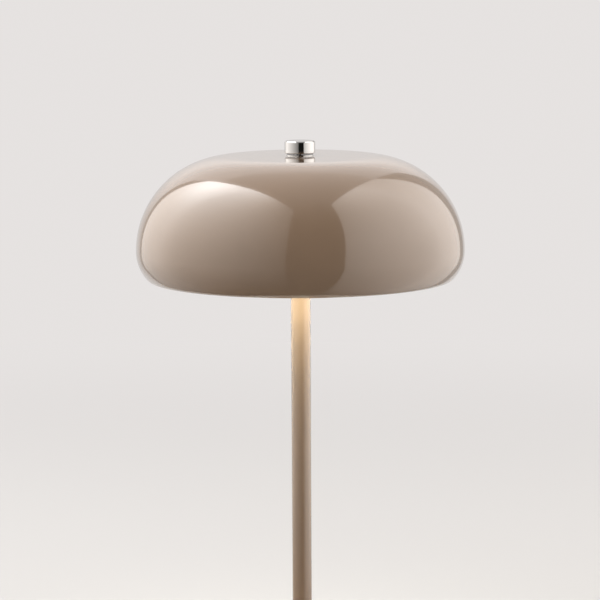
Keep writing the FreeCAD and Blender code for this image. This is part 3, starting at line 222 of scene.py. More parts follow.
class LampStudio(bpy.types.PropertyGroup):
    """Camera and light. A bearing is seen from the lamp, to the right of the way to the camera."""

    camera_distance: length("Camera distance", 2.0, "Camera to the point that it looks at")
    camera_tilt: angle("Camera tilt", 7.53, "How far the camera looks down")
    camera_aim: length("Camera aim", 0.2426, "Height of the point that the camera looks at")
    camera_aside: length("Camera aside", 0.4 * MM, "Camera to the left of the lamp's axis")
    camera_roll: angle("Camera roll", 0.3, "How far the camera leans to the right")
    camera_lens: FloatProperty(name="Lens", description="Focal length", default=196.8, unit="CAMERA")
    camera_sensor: FloatProperty(name="Sensor", description="Sensor's width", default=36.0, unit="CAMERA")
    camera_reach: length("Camera reach", 50.0, "Furthest point that the camera shows")
    floor_radius: length("Floor radius", 4.0, "Flat part of the floor")
    cove_radius: length("Cove", 2.0, "Rounding from the floor to the wall")
    floor_gap: length("Floor gap", 0.2 * MM, "Floor below the foot ring")
    fade_start: length("Floor fade", 0.3, "Distance where the floor starts to turn into the even wall")
    fade_end: length("Floor fade, end", 1.5, "Distance where only the even wall is seen")
    wall_light: amount("Wall light", 0.79, "How pale the wall is to the camera and in reflections")
    wall_upper: amount("Upper wall light", 0.28, "Light added to the wall above the lamp")
    upper_start: length("Upper wall", 1.0, "Height where the added light starts")
    upper_end: length("Upper wall, whole", 2.5, "Height where the added light is whole")
    wall_foot: amount("Wall foot", 0.12, "How much darker reflections see the foot of the wall")
    wall_slant: amount("Wall slant", 0.22, "How much paler reflections see the wall's left side")
    foot_start: length("Wall foot, top", 0.3, "Height where the wall's foot turns into its slant")
    foot_end: length("Wall slant, whole", 1.5, "Height where that slant is whole")
    sky_low: amount("Low sky", 1.02, "Light from the sides")
    sky_high: amount("High sky", 0.86, "Light from straight above")
    sky_seen: amount("High sky, seen", 0.48, "How bright the same sky is in reflections")
    sky_edge: angle("Sky edge", 49.5, "Elevation where the sky dims")
    sky_softness: amount("Sky edge, softness", 0.012, "Half width of that edge, as a share of the height")
    sky_depth: amount("Sky depth", 0.55, "How much paler the high sky is at the rear than above")
    sky_slant: amount("Sky slant", 0.15, "How much paler the sky is on the left than in the middle")
    panel_distance: length("Panel distance", 1.6, "Light panels from the shade")
    panel_lift: length("Panel lift", 4.0 * MM, "Floor parts of the panels above the floor")
    mirror_radius: length("Mirror radius", 95.0 * MM, "Where the shade mirrors the floor, from its axis")
    mirror_ease: angle("Mirror ease", 9.0, "How far below the panels' foot the mirror radius is whole")
    gap_left: angle("Gap, left", -10.0, "Bearing where the left panel starts")
    gap_right: angle("Gap, right", 29.5, "Bearing where the right panel starts")
    left_end: angle("Left panel, end", -143.5, "Bearing where the left panel ends")
    left_flag_end: angle("Left flag, end", -148.0, "Bearing where the flag behind it ends")
    right_end: angle("Right panel, end", 145.5, "Bearing where the right panel ends")
    right_flag_end: angle("Right flag, end", 157.0, "Bearing where the flag behind it ends")
    left_facing: angle("Left panel, facing", -68.0, "Bearing of the left panel's highest point")
    left_top: angle("Left panel, top", 75.4, "Elevation of that point")
    right_facing: angle("Right panel, facing", 80.0, "Bearing of the right panel's highest point")
    right_top: angle("Right panel, top", 71.0, "Elevation of that point")
    cloth_facing: angle("Cloth, facing", 10.0, "Bearing of the dark cloth's highest point")
    cloth_top: angle("Cloth, top", 72.0, "Elevation of that point")
    left_lean: amount("Left lean", 0.024, "How far the left panel's start leans to the right")
    right_lean: amount("Right lean", 0.1, "How far the right panel's start leans to the right")
    left_light: amount("Left panel", 2.7, "Radiance of the left panel at its side, 30 degrees up")
    right_light: amount("Right panel", 2.35, "Radiance of the right panel at its side, 30 degrees up")
    gap_light: amount("Gap light", 0.34, "Radiance of the top of the dark cloth between the panels")
    flag_light: amount("Flag light", 0.45, "Radiance of the flags behind the panels")
    hot_start: amount("Hot cloth", 1.5, "Radiance where the panels' cloth starts to pale")
    hot_end: amount("Hot cloth, whole", 4.0, "Radiance where it is palest")
    lamp_light: FloatProperty(name="Lamp light", description="Lamp's light", default=0.25, unit="POWER")
    lamp_spread: angle("Lamp spread", 120.0, "How wide the lamp's light spreads")
    lamp_width: length("Lamp width", 80.0 * MM, "Width of the brightest part of the diffuser")
    lamp_gap: length("Lamp gap", 0.3 * MM, "Lamp's light below the diffuser")
    lamp_glow: amount("Lamp glow", 0.95, "Strength of the diffuser's glow")


# Half sections: one row for each point, with its radius, its height and its outward normal

def run(start, end):
    """Straight run between two points; the normal points to the right of the walk."""
    step = np.subtract(end, start)
    normal = np.array([step[1], -step[0]]) / np.hypot(*step)
    return np.array([[*start, *normal], [*end, *normal]])


def bend(centre, radius, first, last, count):
    """Arc: centre + radius * (cos a, sin a), with a from first to last in degrees.

    The normal points away from the centre where the walk is anticlockwise and towards it otherwise.
    """
    turn = np.radians(np.linspace(first, last, count))[:, None]
    ray = np.hstack([np.cos(turn), np.sin(turn)])
    return np.hstack([np.asarray(centre) + radius * ray, ray * np.sign(last - first)])


def joined(*parts):
    """Parts of a section in one array, without the points that two neighbours share."""
    rows = np.vstack(parts)
    apart = np.hypot(*np.diff(rows[:, :2], axis=0).T) > SAME_PLACE
    return rows[np.concatenate([[True], apart])]


def rounded(corners, closed=True, steps=7):
    """A polygon whose corners are (radius, height, rounding), as straight runs joined by tangent arcs.

    An arc starts rounding * tan(turn / 2) before its corner. An open polygon begins and ends on the axis.
    """
    spots = np.array([corner[:2] for corner in corners])
    walk = np.diff(np.vstack([spots, spots[:1]]), axis=0)
    headings = np.degrees(np.arctan2(walk[:, 1], walk[:, 0]))
    parts = []
    for index, (x, z, rounding) in enumerate(corners):
        before, after = headings[index - 1], headings[index]
        turn = (after - before + 180) % 360 - 180
        if not closed and index in (0, len(corners) - 1):
            side = math.radians(after if index == 0 else before)
            parts.append([[x, z, math.sin(side), -math.cos(side)]])
            continue
        reach = rounding * math.tan(math.radians(abs(turn)) / 2)
        way = math.radians(before)
        start = np.array([x - reach * math.cos(way), z - reach * math.sin(way)])
        across = np.array([-math.sin(way), math.cos(way)]) * math.copysign(rounding, turn)
        first = before - math.copysign(90, turn)
        parts.append(bend(start + across, rounding, first, first + turn, steps))
    return joined(*parts)


# Grids

def carried(radial, upright, turn):
    """Points or normals carried round the Z axis by angles a: x = radial cos a, y = radial sin a."""
    flat = np.multiply.outer(radial, np.stack([np.cos(turn), np.sin(turn)], axis=1))
    tall = np.broadcast_to(upright[:, None, None], (len(upright), len(turn), 1))
    return np.concatenate([flat, tall], axis=2)


def grid_faces(shape, wrap_rows=False, wrap_columns=True, flip=False):
    """Quads of a grid of points, each one along its row first and then on to the next row.

    A wrapped grid joins its last row or column to its first, and flip turns the faces round.
    """
    here = np.arange(shape[0] * shape[1]).reshape(shape[:2])
    if wrap_columns:
        here = np.hstack([here, here[:, :1]])
    if wrap_rows:
        here = np.vstack([here, here[:1]])
    corners = [here[:-1, :-1], here[:-1, 1:], here[1:, 1:], here[1:, :-1]]
    order = (1, 0, 3, 2) if flip else (0, 1, 2, 3)
    return np.stack([corners[index] for index in order], axis=2)


def turned(section, columns, closed=True):
    """Points, normals and faces of a section carried round the Z axis.

    Rows of an open section that lie on the axis become single points with a fan of triangles.
    """
    turn = np.linspace(0, 2 * np.pi, columns, endpoint=False)
    on_axis = section[:, 0] < ON_AXIS
    rows, poles = section[~on_axis], section[on_axis]
    points = carried(rows[:, 0], rows[:, 1], turn)
    normals = carried(rows[:, 2], rows[:, 3], turn).reshape(-1, 3)
    quads = grid_faces(points.shape, wrap_rows=closed).reshape(-1, 4).tolist()
    points = points.reshape(-1, 3)
    if closed:
        return points, normals, quads
    first = np.arange(columns)
    beside = np.roll(first, -1)
    last = len(points) - columns
    bottom = np.stack([np.full(columns, len(points)), beside, first], axis=1)
    top = np.stack([last + first, last + beside, np.full(columns, len(points) + 1)], axis=1)
    zeros = np.zeros(len(poles))
    points = np.vstack([points, np.stack([zeros, zeros, poles[:, 1]], axis=1)])
    normals = np.vstack([normals, np.stack([zeros, zeros, poles[:, 3]], axis=1)])
    return points, normals, quads + bottom.tolist() + top.tolist()


# Pieces

def new_piece(name, points, faces, *materials):
    """An object at the origin whose place is in its mesh."""
    mesh = bpy.data.meshes.new(name)
    mesh.from_pydata(points.tolist(), [], faces)
    for material in materials:
        mesh.materials.append(material)
    mesh.shade_smooth()
    thing = bpy.data.objects.new(name, mesh)
    bpy.context.scene.collection.objects.link(thing)
    return thing


def stand_for(thing, node, body="lamp"):
    """Let a piece ride on a body in place of a plain solid, which it hides."""
    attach(thing, body)
    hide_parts(node)


def turned_piece(name, node, section, columns, material, closed=True, body="lamp"):
    """A piece that is a section carried round the Z axis, in place of a node."""
    points, normals, faces = turned(section, columns, closed)
    thing = new_piece(name, points, faces, material)
    thing.data.normals_split_custom_set_from_vertices(normals.tolist())
    stand_for(thing, node, body)


def sharpen(mesh, degrees=35.0):
    """Keep edges crisp where faces meet at more than an angle."""
    mesh.set_sharp_from_angle(angle=math.radians(degrees))


# Shader nodes

class Signal:
    """A shader socket; arithmetic on it adds Math nodes."""

    def __init__(self, tree, socket):
        self.tree = tree
        self.socket = socket

    def maths(self, operation, first, second):
        """A Math node on two values or links."""
        return self.tree.add("ShaderNodeMath", {"operation": operation}, {0: first, 1: second})

    def __add__(self, other):
        return self.maths("ADD", self, other)

    def __radd__(self, other):
        return self.maths("ADD", other, self)

    def __sub__(self, other):
        return self.maths("SUBTRACT", self, other)

    def __rsub__(self, other):
        return self.maths("SUBTRACT", other, self)

    def __mul__(self, other):
        return self.maths("MULTIPLY", self, other)

    def __rmul__(self, other):
        return self.maths("MULTIPLY", other, self)

    def __truediv__(self, other):
        return self.maths("DIVIDE", self, other)

    def __rtruediv__(self, other):
        return self.maths("DIVIDE", other, self)

    def __pow__(self, other):
        return self.maths("POWER", self, other)

    def __rpow__(self, other):
        return self.maths("POWER", other, self)


class Tree:
    """The nodes of one material or world."""

    def __init__(self, owner):
        owner.use_nodes = True
        self.nodes = owner.node_tree.nodes
        self.links = owner.node_tree.links
        self.nodes.clear()

    def add(self, kind, settings=None, inputs=None, output=0):
        """Add a node: its settings first, then the values or links of its sockets."""
        node = self.nodes.new(kind)
        for name, value in (settings or {}).items():
            if name == "stops":
                self.set_stops(node.color_ramp, value)
            else:
                setattr(node, name, value)
        for name, value in (inputs or {}).items():
            if isinstance(value, Signal):
                self.links.new(value.socket, node.inputs[name])
            else:
                node.inputs[name].default_value = value
        return Signal(self, node.outputs[output]) if node.outputs else None

    @staticmethod
    def set_stops(ramp, stops):
        """Give a ramp its grey stops, each a position and a level."""
        while len(ramp.elements) < len(stops):
            ramp.elements.new(1.0)
        for element, (position, level) in zip(ramp.elements, stops):
            element.position = position
            element.color = (level, level, level, 1.0)

    def place(self):
        """Object coordinates."""
        return self.add("ShaderNodeTexCoord", output="Object")

    def stretched(self, scale):
        """Object coordinates, scaled unevenly so that a pattern runs one way."""
        return self.add("ShaderNodeMapping", inputs={"Vector": self.place(), "Scale": scale})

    def noise(self, vector, scale, detail=2.0):
        """Cloudy noise from 0 to 1; the scale counts its clouds along a unit of the coordinates."""
        inputs = {"Vector": vector, "Scale": scale, "Detail": detail}
        return self.add("ShaderNodeTexNoise", inputs=inputs)

    def ramp(self, signal, *stops):
        """A value sent through grey stops."""
        return self.add("ShaderNodeValToRGB", {"stops": stops}, {"Fac": signal})

    def mix(self, share, first, second):
        """Blend two colours."""
        inputs = {0: share, 6: solid(first), 7: solid(second)}
        return self.add("ShaderNodeMix", {"data_type": "RGBA"}, inputs, output=2)

    def tint(self, base, level):
        """A colour scaled by a level."""
        return self.add("ShaderNodeVectorMath", {"operation": "SCALE"}, {0: base, "Scale": level})

    def part(self, vector, axis):
        """One coordinate of a vector."""
        return self.add("ShaderNodeSeparateXYZ", inputs={"Vector": vector}, output=axis)

    def between(self, signal, first, last):
        """A smooth step from 0 to 1."""
        inputs = {"Value": signal, "From Min": first, "From Max": last}
        return self.add("ShaderNodeMapRange", {"interpolation_type": "SMOOTHSTEP"}, inputs)

    def bump(self, height, depth):
        """Normals of a height from 0 to 1 that stands depth metres proud."""
        return self.add("ShaderNodeBump", inputs={"Height": height, "Distance": depth})

    def ray(self, kind):
        """1 for rays of a kind, and otherwise 0."""
        return self.add("ShaderNodeLightPath", output=f"Is {kind} Ray")

    def surface(self, **sockets):
        """End a material in one Principled shader."""
        inputs = {}
        for name, value in sockets.items():
            inputs[name.replace("_", " ").title().replace("Ior", "IOR")] = value
        shader = self.add("ShaderNodeBsdfPrincipled", inputs=inputs)
        self.add("ShaderNodeOutputMaterial", inputs={"Surface": shader})


def solid(value):
    """A colour with full alpha, or a link as it is."""
    return value if isinstance(value, Signal) else (*value, 1.0)


def shaded(base, factor, lift=0.0):
    """A colour made darker or paler."""
    return [min(1.0, value * factor + lift) for value in base]


# Finishes

def lacquer(tree, colours):
    """Gloss lacquer over metal: slow cloud in the colour, faint orange peel, hard clear coat."""
    place = tree.place()
    cloud = tree.ramp(tree.noise(place, scale=22.0, detail=3.0), (0.3, 0.0), (0.7, 1.0))
    peel = tree.noise(place, scale=650.0, detail=1.0)
    haze = tree.noise(place, scale=60.0, detail=4.0)
    tree.surface(
        base_color=tree.mix(cloud, colours.lacquer, colours.lacquer_deep),
        roughness=0.10 + haze * 0.08,
        ior=1.5,
        coat_weight=1.0,
        coat_roughness=0.02,
        coat_ior=1.6,
        normal=tree.bump(peel, depth=0.004 * MM),
    )


def chrome(tree, colours):
    """Polished chrome with hairline turning marks and a trace of haze, with painted shade under the cap.

    The painted shade is a near-black colour over the gap between the collar's top and the cap's bottom,
    with a soft margin.
    """
    place = tree.place()
    height = tree.part(place, "Z")
    floor, ceiling = high("knob_collar").z, low("knob_cap").z
    near, far = 0.02 * MM, 0.08 * MM
    # Mask of the painted shade: 1 in the gap between the collar's top and the cap's bottom
    above = tree.between(height, floor - far, floor - near)
    below = 1.0 - tree.between(height, ceiling + near, ceiling + far)
    marks = tree.noise(tree.stretched((60.0, 60.0, 4000.0)), scale=1.0, detail=3.0)
    haze = tree.noise(place, scale=160.0, detail=3.0)
    polish = tree.mix(haze, colours.chrome, shaded(colours.chrome, 0.93))
    tree.surface(
        base_color=tree.mix(above * below, polish, colours.painted_gap_shade),
        metallic=1.0,
        roughness=0.03 + haze * 0.05 + marks * 0.02,
        normal=tree.bump(marks, depth=0.0008 * MM),
    )


def opal(tree, colours):
    """Lit opal plastic: the ring of lights shows through as a soft brighter band.

    The band is exp(-((r - circle) / width) ^ 2), with r from the axis.
    """
    sizes = bpy.context.scene.lamp_sizes
    place = tree.place()
    across, depth = tree.part(place, "X"), tree.part(place, "Y")
    radius = (across * across + depth * depth) ** 0.5
    off = (radius - sizes.light_circle) / sizes.light_band
    band = tree.add("ShaderNodeMath", {"operation": "EXPONENT"}, {0: off * off * -1.0})
    grain = tree.noise(place, scale=500.0)
    tree.surface(
        base_color=tree.mix(grain, colours.opal, shaded(colours.opal, 0.97)),
        roughness=0.32 + grain * 0.1,
        emission_color=tree.mix(band, shaded(colours.glow, 0.72), colours.glow),
        emission_strength=bpy.context.scene.lamp_studio.lamp_glow,
        normal=tree.bump(grain, depth=0.006 * MM),
    )


def brushed(shade_name, roughness, grain_scale):
    """Metal with fine marks round the axis that it was turned on."""

    def make(tree, colours):
        base = getattr(colours, shade_name)
        marks = tree.noise(tree.stretched((90.0, 90.0, grain_scale)), scale=1.0, detail=4.0)
        tree.surface(
            base_color=tree.mix(marks, base, shaded(base, 0.82)),
            metallic=1.0,
            roughness=roughness + marks * 0.15,
            normal=tree.bump(marks, depth=0.003 * MM),
        )

    return make


def painted(shade_name, grain_scale, cloud_scale, darkest):
    """Sprayed satin paint or enamel with a fine grain and a slow cloud in its colour."""

    def make(tree, colours):
        base = getattr(colours, shade_name)
        place = tree.place()
        grain = tree.noise(place, grain_scale)
        cloud = tree.noise(place, cloud_scale)
        tree.surface(
            base_color=tree.mix(cloud, base, shaded(base, darkest)),
            roughness=0.42 + grain * 0.12,
            normal=tree.bump(grain, depth=0.01 * MM),
        )

    return make


def moulded(shade_name, roughness, depth, scale=1400.0):
    """Moulded plastic or rubber with a spark-eroded grain."""

    def make(tree, colours):
        base = getattr(colours, shade_name)
        place = tree.place()
        grain = tree.noise(place, scale, detail=3.0)
        wear = tree.noise(place, scale=70.0, detail=3.0)
        tree.surface(
            base_color=tree.mix(wear * 0.6, base, shaded(base, 1.35, lift=0.004)),
            roughness=roughness + grain * 0.2,
            normal=tree.bump(grain, depth),
        )

    return make


def cast_iron(tree, colours):
    """Rough casting with a coarse sand skin."""
    place = tree.place()
    sand = tree.noise(place, scale=700.0, detail=5.0)
    patch = tree.noise(place, scale=60.0, detail=3.0)
    tree.surface(
        base_color=tree.mix(patch, colours.cast_iron, shaded(colours.cast_iron, 1.6)),
        metallic=0.6,
        roughness=0.55 + sand * 0.3,
        normal=tree.bump(sand, depth=0.12 * MM),
    )


def circuit(shade_name):
    """Board with solder mask over faint copper tracks."""

    def make(tree, colours):
        base = getattr(colours, shade_name)
        place = tree.place()
        lanes = tree.add(
            "ShaderNodeTexWave",
            {"wave_type": "BANDS", "bands_direction": "DIAGONAL"},
            {"Vector": place, "Scale": 160.0, "Distortion": 6.0, "Detail": 1.0, "Detail Scale": 0.6},
        )
        tracks = tree.ramp(lanes, (0.55, 0.0), (0.62, 1.0))
        under = [0.75 * value + 0.25 * metal for value, metal in zip(base, colours.copper)]
        tree.surface(
            base_color=tree.mix(tracks, base, under),
            roughness=0.35 + tracks * 0.1,
            normal=tree.bump(tracks, depth=0.03 * MM),
        )

    return make


def cell_wrap(tree, colours):
    """Shrink sleeve with soft creases along the cell."""
    creases = tree.noise(tree.stretched((700.0, 40.0, 700.0)), scale=1.0, detail=3.0)
    tree.surface(
        base_color=tree.mix(creases, colours.cell_wrap, shaded(colours.cell_wrap, 1.3)),
        roughness=0.22 + creases * 0.15,
        normal=tree.bump(creases, depth=0.03 * MM),
    )


def phosphor(tree, colours):
    """Lit yellow face of a light."""
    grain = tree.noise(tree.place(), scale=2500.0)
    face = tree.mix(grain, colours.phosphor, shaded(colours.phosphor, 0.85))
    tree.surface(
        base_color=face,
        roughness=0.4 + grain * 0.1,
        emission_color=face,
        emission_strength=1.0,
    )


def lens(tree, colours):
    """Clear rod with a frosted end."""
    frost = tree.noise(tree.place(), scale=1800.0, detail=3.0)
    tree.surface(
        base_color=tree.mix(frost, colours.lens, shaded(colours.lens, 0.9)),
        roughness=0.15 + frost * 0.2,
        ior=1.49,
        transmission_weight=0.6,
        normal=tree.bump(frost, depth=0.01 * MM),
    )


FINISHES = {
    "lacquer": lacquer,
    "shade_inside": painted("inside", 900.0, 30.0, 0.94),
    "chrome": chrome,
    "opal": opal,
    "steel": brushed("steel", 0.22, 2500.0),
    "dark_steel": brushed("dark_steel", 0.35, 2500.0),
    "aluminium": brushed("aluminium", 0.25, 3000.0),
    "white_metal": painted("white_metal", 1100.0, 40.0, 0.93),
    "cast_iron": cast_iron,
    "black_plastic": moulded("black_plastic", 0.45, 0.02 * MM),
    "white_board": circuit("white_board"),
    "green_board": circuit("green_board"),
    "led": phosphor,
    "wire": moulded("wire", 0.5, 0.01 * MM),
    "cell_wrap": cell_wrap,
    "rubber": moulded("rubber", 0.6, 0.03 * MM, 900.0),
    "clear": lens,
}


def finish(name):
    """The material of a finish, made on first use."""
    found = bpy.data.materials.get("finish_" + name)
    if found is None:
        found = bpy.data.materials.new("finish_" + name)
        FINISHES[name](Tree(found), bpy.context.scene.lamp_colours)
    return found


# Shapes of the large pieces

class DomeArcs:
    """Tangent arcs of a spun dome: flat seat, crown arc and shoulder arc down to the widest line."""

    def __init__(self, top, widest, flat, crown, shoulder):
        reach = crown - shoulder
        side = widest - shoulder - flat
        rise = math.sqrt(reach**2 - side**2)
        self.flat = flat
        self.crown = crown
        self.shoulder = shoulder
        self.equator = top - crown + rise
        self.crown_centre = (flat, top - crown)
        self.shoulder_centre = (widest - shoulder, self.equator)
        self.meeting = math.degrees(math.atan2(rise, side))

    def outer(self, crown_steps, shoulder_steps):
        """From the widest line up to the edge of the flat seat."""
        return joined(
            bend(self.shoulder_centre, self.shoulder, 0, self.meeting, shoulder_steps),
            bend(self.crown_centre, self.crown, self.meeting, 90, crown_steps),
        )

    def inner(self, wall, crown_steps, shoulder_steps):
        """From the edge of the flat seat down to the widest line, a wall's thickness inside."""
        return joined(
            bend(self.crown_centre, self.crown - wall, 90, self.meeting, crown_steps),
            bend(self.shoulder_centre, self.shoulder - wall, self.meeting, 0, shoulder_steps),
        )


def shade_section(sizes):
    """Outside of the shade from the rim up to the crown, round the hole, and back down the inside."""
    top, widest, wall = high("shade").z, high("shade").x, sizes.shade_wall
    dome = DomeArcs(top, widest, sizes.crown_flat, sizes.crown_radius, sizes.shoulder_radius)
    lower, tuck = sizes.lower_radius, sizes.tuck_radius
    first = -math.degrees(sizes.lower_sweep)
    rim = first - math.degrees(sizes.tuck_sweep)
    lower_centre = np.array([widest - lower, dome.equator])
    slope = math.radians(first)
    tuck_centre = lower_centre + (lower - tuck) * np.array([math.cos(slope), math.sin(slope)])
    slope = math.radians(rim)
    lip_centre = tuck_centre + (tuck - wall / 2) * np.array([math.cos(slope), math.sin(slope)])
    hole, edge = sizes.shade_hole, wall / 4
    outside = joined(
        bend(tuck_centre, tuck, rim, first, TUCK_STEPS),
        bend(lower_centre, lower, first, 0, LOWER_STEPS),
        dome.outer(CROWN_STEPS, SHOULDER_STEPS),
        run((dome.flat, top), (hole + edge, top)),
        bend((hole + edge, top - edge), edge, 90, 180, EDGE_STEPS),
    )
    inside = joined(
        bend((hole + edge, top - wall + edge), edge, 180, 270, EDGE_STEPS),
        run((hole + edge, top - wall), (dome.flat, top - wall)),
        dome.inner(wall, CROWN_STEPS, SHOULDER_STEPS),
        bend(lower_centre, lower - wall, 0, first, LOWER_STEPS),
        bend(tuck_centre, tuck - wall, first, rim, TUCK_STEPS),
    )
    lip = bend(lip_centre, wall / 2, rim + 180, rim + 360, LIP_STEPS)[1:-1]
    return outside, inside, lip


def knob_cap_section(sizes):
    """Half section of the cap, from the top of its bore round the outside to the middle of its top."""
    bottom, top, side = extent("knob_cap")
    bore, ceiling, crisp = sizes.cap_bore, bottom + sizes.cap_bore_depth, sizes.crisp_edge
    return rounded(
        [
            (0, ceiling, 0),
            (bore, ceiling, crisp),
            (bore, bottom, crisp),
            (side - sizes.cap_lower_edge, bottom, crisp),
            (side, bottom + sizes.cap_lower_edge, crisp),
            (side, top - sizes.cap_edge, crisp),
            (side - sizes.cap_edge, top, crisp),
            (0, top, 0),
        ],
        closed=False,
    )


def knob_collar_section(sizes):
    """Sleeve through the crown with a thin chamfered flange on it."""
    bottom, top, side = extent("knob_collar")
    seat, edge, crisp = high("shade").z, sizes.collar_edge, sizes.crisp_edge / 2
    return rounded(
        [
            (sizes.collar_bore, bottom, crisp),
            (sizes.sleeve_radius, bottom, crisp),
            (sizes.sleeve_radius, seat, crisp),
            (side, seat, crisp),
            (side, top - edge, crisp),
            (side - edge, top, crisp),
            (sizes.collar_bore, top, crisp),
        ]
    )


def tube_section(inner, outer, bottom, top, edge):
    """Plain ring with rounded edges."""
    return rounded(
        [(inner, bottom, edge), (outer, bottom, edge), (outer, top, edge), (inner, top, edge)]
    )


def stem_foot_section(sizes):
    """Collar with a rounded upper edge."""
    bottom, top, side = extent("stem_foot")
    bore = high("stem_tube").x
    soft, fine = sizes.soft_edge, sizes.soft_edge / 4
    return rounded(
        [(bore, bottom, fine), (side, bottom, soft), (side, top, sizes.foot_round), (bore, top, fine)],
        steps=13,
    )


def tray_section(sizes):
    """Sheet tray with a turned-down edge."""
    bottom, top, side = extent("led_tray")
    wall, edge = sizes.tray_wall, sizes.tray_wall / 4
    return rounded(
        [
            (sizes.column_hole, top - wall, edge),
            (side - wall, top - wall, sizes.tray_bend - wall),
            (side - wall, bottom, edge),
            (side, bottom, edge),
            (side, top, sizes.tray_bend),
            (sizes.column_hole, top, edge),
        ]
    )


def diffuser_section(sizes):
    """Dish with a rounded lower edge."""
    bottom, top, side = extent("diffuser")
    wall, corner, edge = sizes.diffuser_wall, sizes.diffuser_corner, sizes.diffuser_wall / 5
    return rounded(
        [
            (sizes.column_hole, bottom, edge),
            (side, bottom, corner),
            (side, top, edge),
            (side - wall, top, edge),
            (side - wall, bottom + wall, corner - wall),
            (sizes.column_hole, bottom + wall, edge),
        ],
        steps=15,
    )


def foot_ring_section(sizes):
    """Soft ring with chamfered lower edges."""
    bottom, top, outer = extent("foot_ring")
    edge, soft = sizes.foot_edge, sizes.soft_edge / 2
    inner = outer - sizes.foot_width
    return rounded(
        [
            (inner + edge, bottom, soft),
            (outer - edge, bottom, soft),
            (outer, bottom + edge, soft),
            (outer, top, soft / 4),
            (inner, top, soft / 4),
            (inner, bottom + edge, soft),
        ]
    )


# Charging port

def outline_reach(toward, half_width, half_height, corner, halvings=40):
    """How far each vector is scaled to end on a rounded rectangle round the origin, by halving steps."""
    near, far = np.zeros(len(toward)), np.ones(len(toward))
    for _ in range(halvings):
        middle = (near + far) / 2
        spot = np.abs(toward * middle[:, None])
        past = spot - [half_width - corner, half_height - corner]
        outside = np.hypot(*np.maximum(past, 0).T) + np.minimum(past.max(axis=1), 0) - corner
        near, far = np.where(outside < 0, middle, near), np.where(outside < 0, far, middle)
    return middle


def pierced_cell(columns_x, rows_z, hole, layers=8, crowding=1.5):
    """Wall round a hole: rings that go from the hole's outline to the rectangle of its cell.

    A ring at share t is outline + t * (rectangle - outline), point by point in x and z. The rings crowd
    towards the hole, because t is a power of their number.
    """
    centre_x, centre_z, half_width, half_height, corner = hole
    sides = [
        np.stack([columns_x[:-1], np.full(len(columns_x) - 1, rows_z[0])], axis=1),
        np.stack([np.full(len(rows_z) - 1, columns_x[-1]), rows_z[:-1]], axis=1),
        np.stack([columns_x[:0:-1], np.full(len(columns_x) - 1, rows_z[-1])], axis=1),
        np.stack([np.full(len(rows_z) - 1, columns_x[0]), rows_z[:0:-1]], axis=1),
    ]
    toward = np.vstack(sides) - [centre_x, centre_z]
    outline = toward * outline_reach(toward, half_width, half_height, corner)[:, None]
    share = (np.linspace(0, 1, layers) ** crowding)[:, None, None]
    rings = outline + share * (toward - outline) + [centre_x, centre_z]
    return rings.reshape(-1, 2), grid_faces(rings.shape).reshape(-1, 4)


def base_shell_surface(sizes):
    """Outside of the base: its dome, and its side with the port's slot and the charge light's hole.

    The side is a grid in angle and height. Two of its cells at the rear give way to pierced ones.
    """
    bottom, top, side = extent("base_shell")
    dome = DomeArcs(top, side, sizes.base_flat, sizes.base_crown, sizes.base_shoulder)
    over = joined(
        dome.outer(BASE_STEPS, BASE_STEPS),
        run((dome.flat, top), (sizes.base_hole, top)),
    )
    turn = np.pi / 2 - np.linspace(0, 2 * np.pi, sizes.columns + 1)
    heights = np.linspace(bottom, dome.equator, SIDE_ROWS)
    radii = np.concatenate([np.full(len(heights) - 1, side), over[:, 0]])
    levels = np.concatenate([heights[:-1], over[:, 1]])
    grid = carried(radii, levels, turn)
    quads = grid_faces(grid.shape, wrap_columns=False, flip=True)
    keep = np.ones(quads.shape[:2], bool)
    band = len(heights) - 1
    keep[:band, :LIGHT_REACH] = False
    keep[:band, -PORT_REACH:] = False
    points, faces = [grid.reshape(-1, 3)], [quads[keep]]
    gap = sizes.port_gap
    liner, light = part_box("port_liner"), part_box("charge_lens")
    holes = (
        (-PORT_REACH, PORT_REACH, liner, sizes.port_corner + gap),
        (PORT_REACH, LIGHT_REACH, light, (light[1].z - light[0].z) / 2 + gap),
    )
    for first, last, (lowest, highest), corner in holes:
        across = side * np.sin(np.arange(first, last + 1) * 2 * np.pi / sizes.columns)
        middle, half = (lowest + highest) / 2, (highest - lowest) / 2
        hole = (middle.x, middle.z, half.x + gap, half.z + gap, corner)
        flat_points, cell = pierced_cell(across, heights, hole)
        x, z = flat_points.T
        faces.append(cell + sum(len(part) for part in points))
        points.append(np.stack([x, np.sqrt(side**2 - x**2), z], axis=1))
    return np.vstack(points), np.vstack(faces)


def thickened(thing, wall):
    """Give an open sheet its wall on the inside, with its doubled edges merged first."""
    sheet = bmesh.new()
    sheet.from_mesh(thing.data)
    bmesh.ops.remove_doubles(sheet, verts=sheet.verts, dist=MERGE_DISTANCE)
    loose = [spot for spot in sheet.verts if not spot.link_faces]
    bmesh.ops.delete(sheet, geom=loose, context="VERTS")
    sheet.to_mesh(thing.data)
    sheet.free()
    solidify = thing.modifiers.new("Wall", "SOLIDIFY")
    solidify.thickness = wall
    solidify.offset = -1.0
    solidify.use_even_offset = True
    graph = bpy.context.evaluated_depsgraph_get()
    mesh = bpy.data.meshes.new_from_object(thing.evaluated_get(graph))
    thing.modifiers.clear()
    thing.data = mesh
    sharpen(mesh)


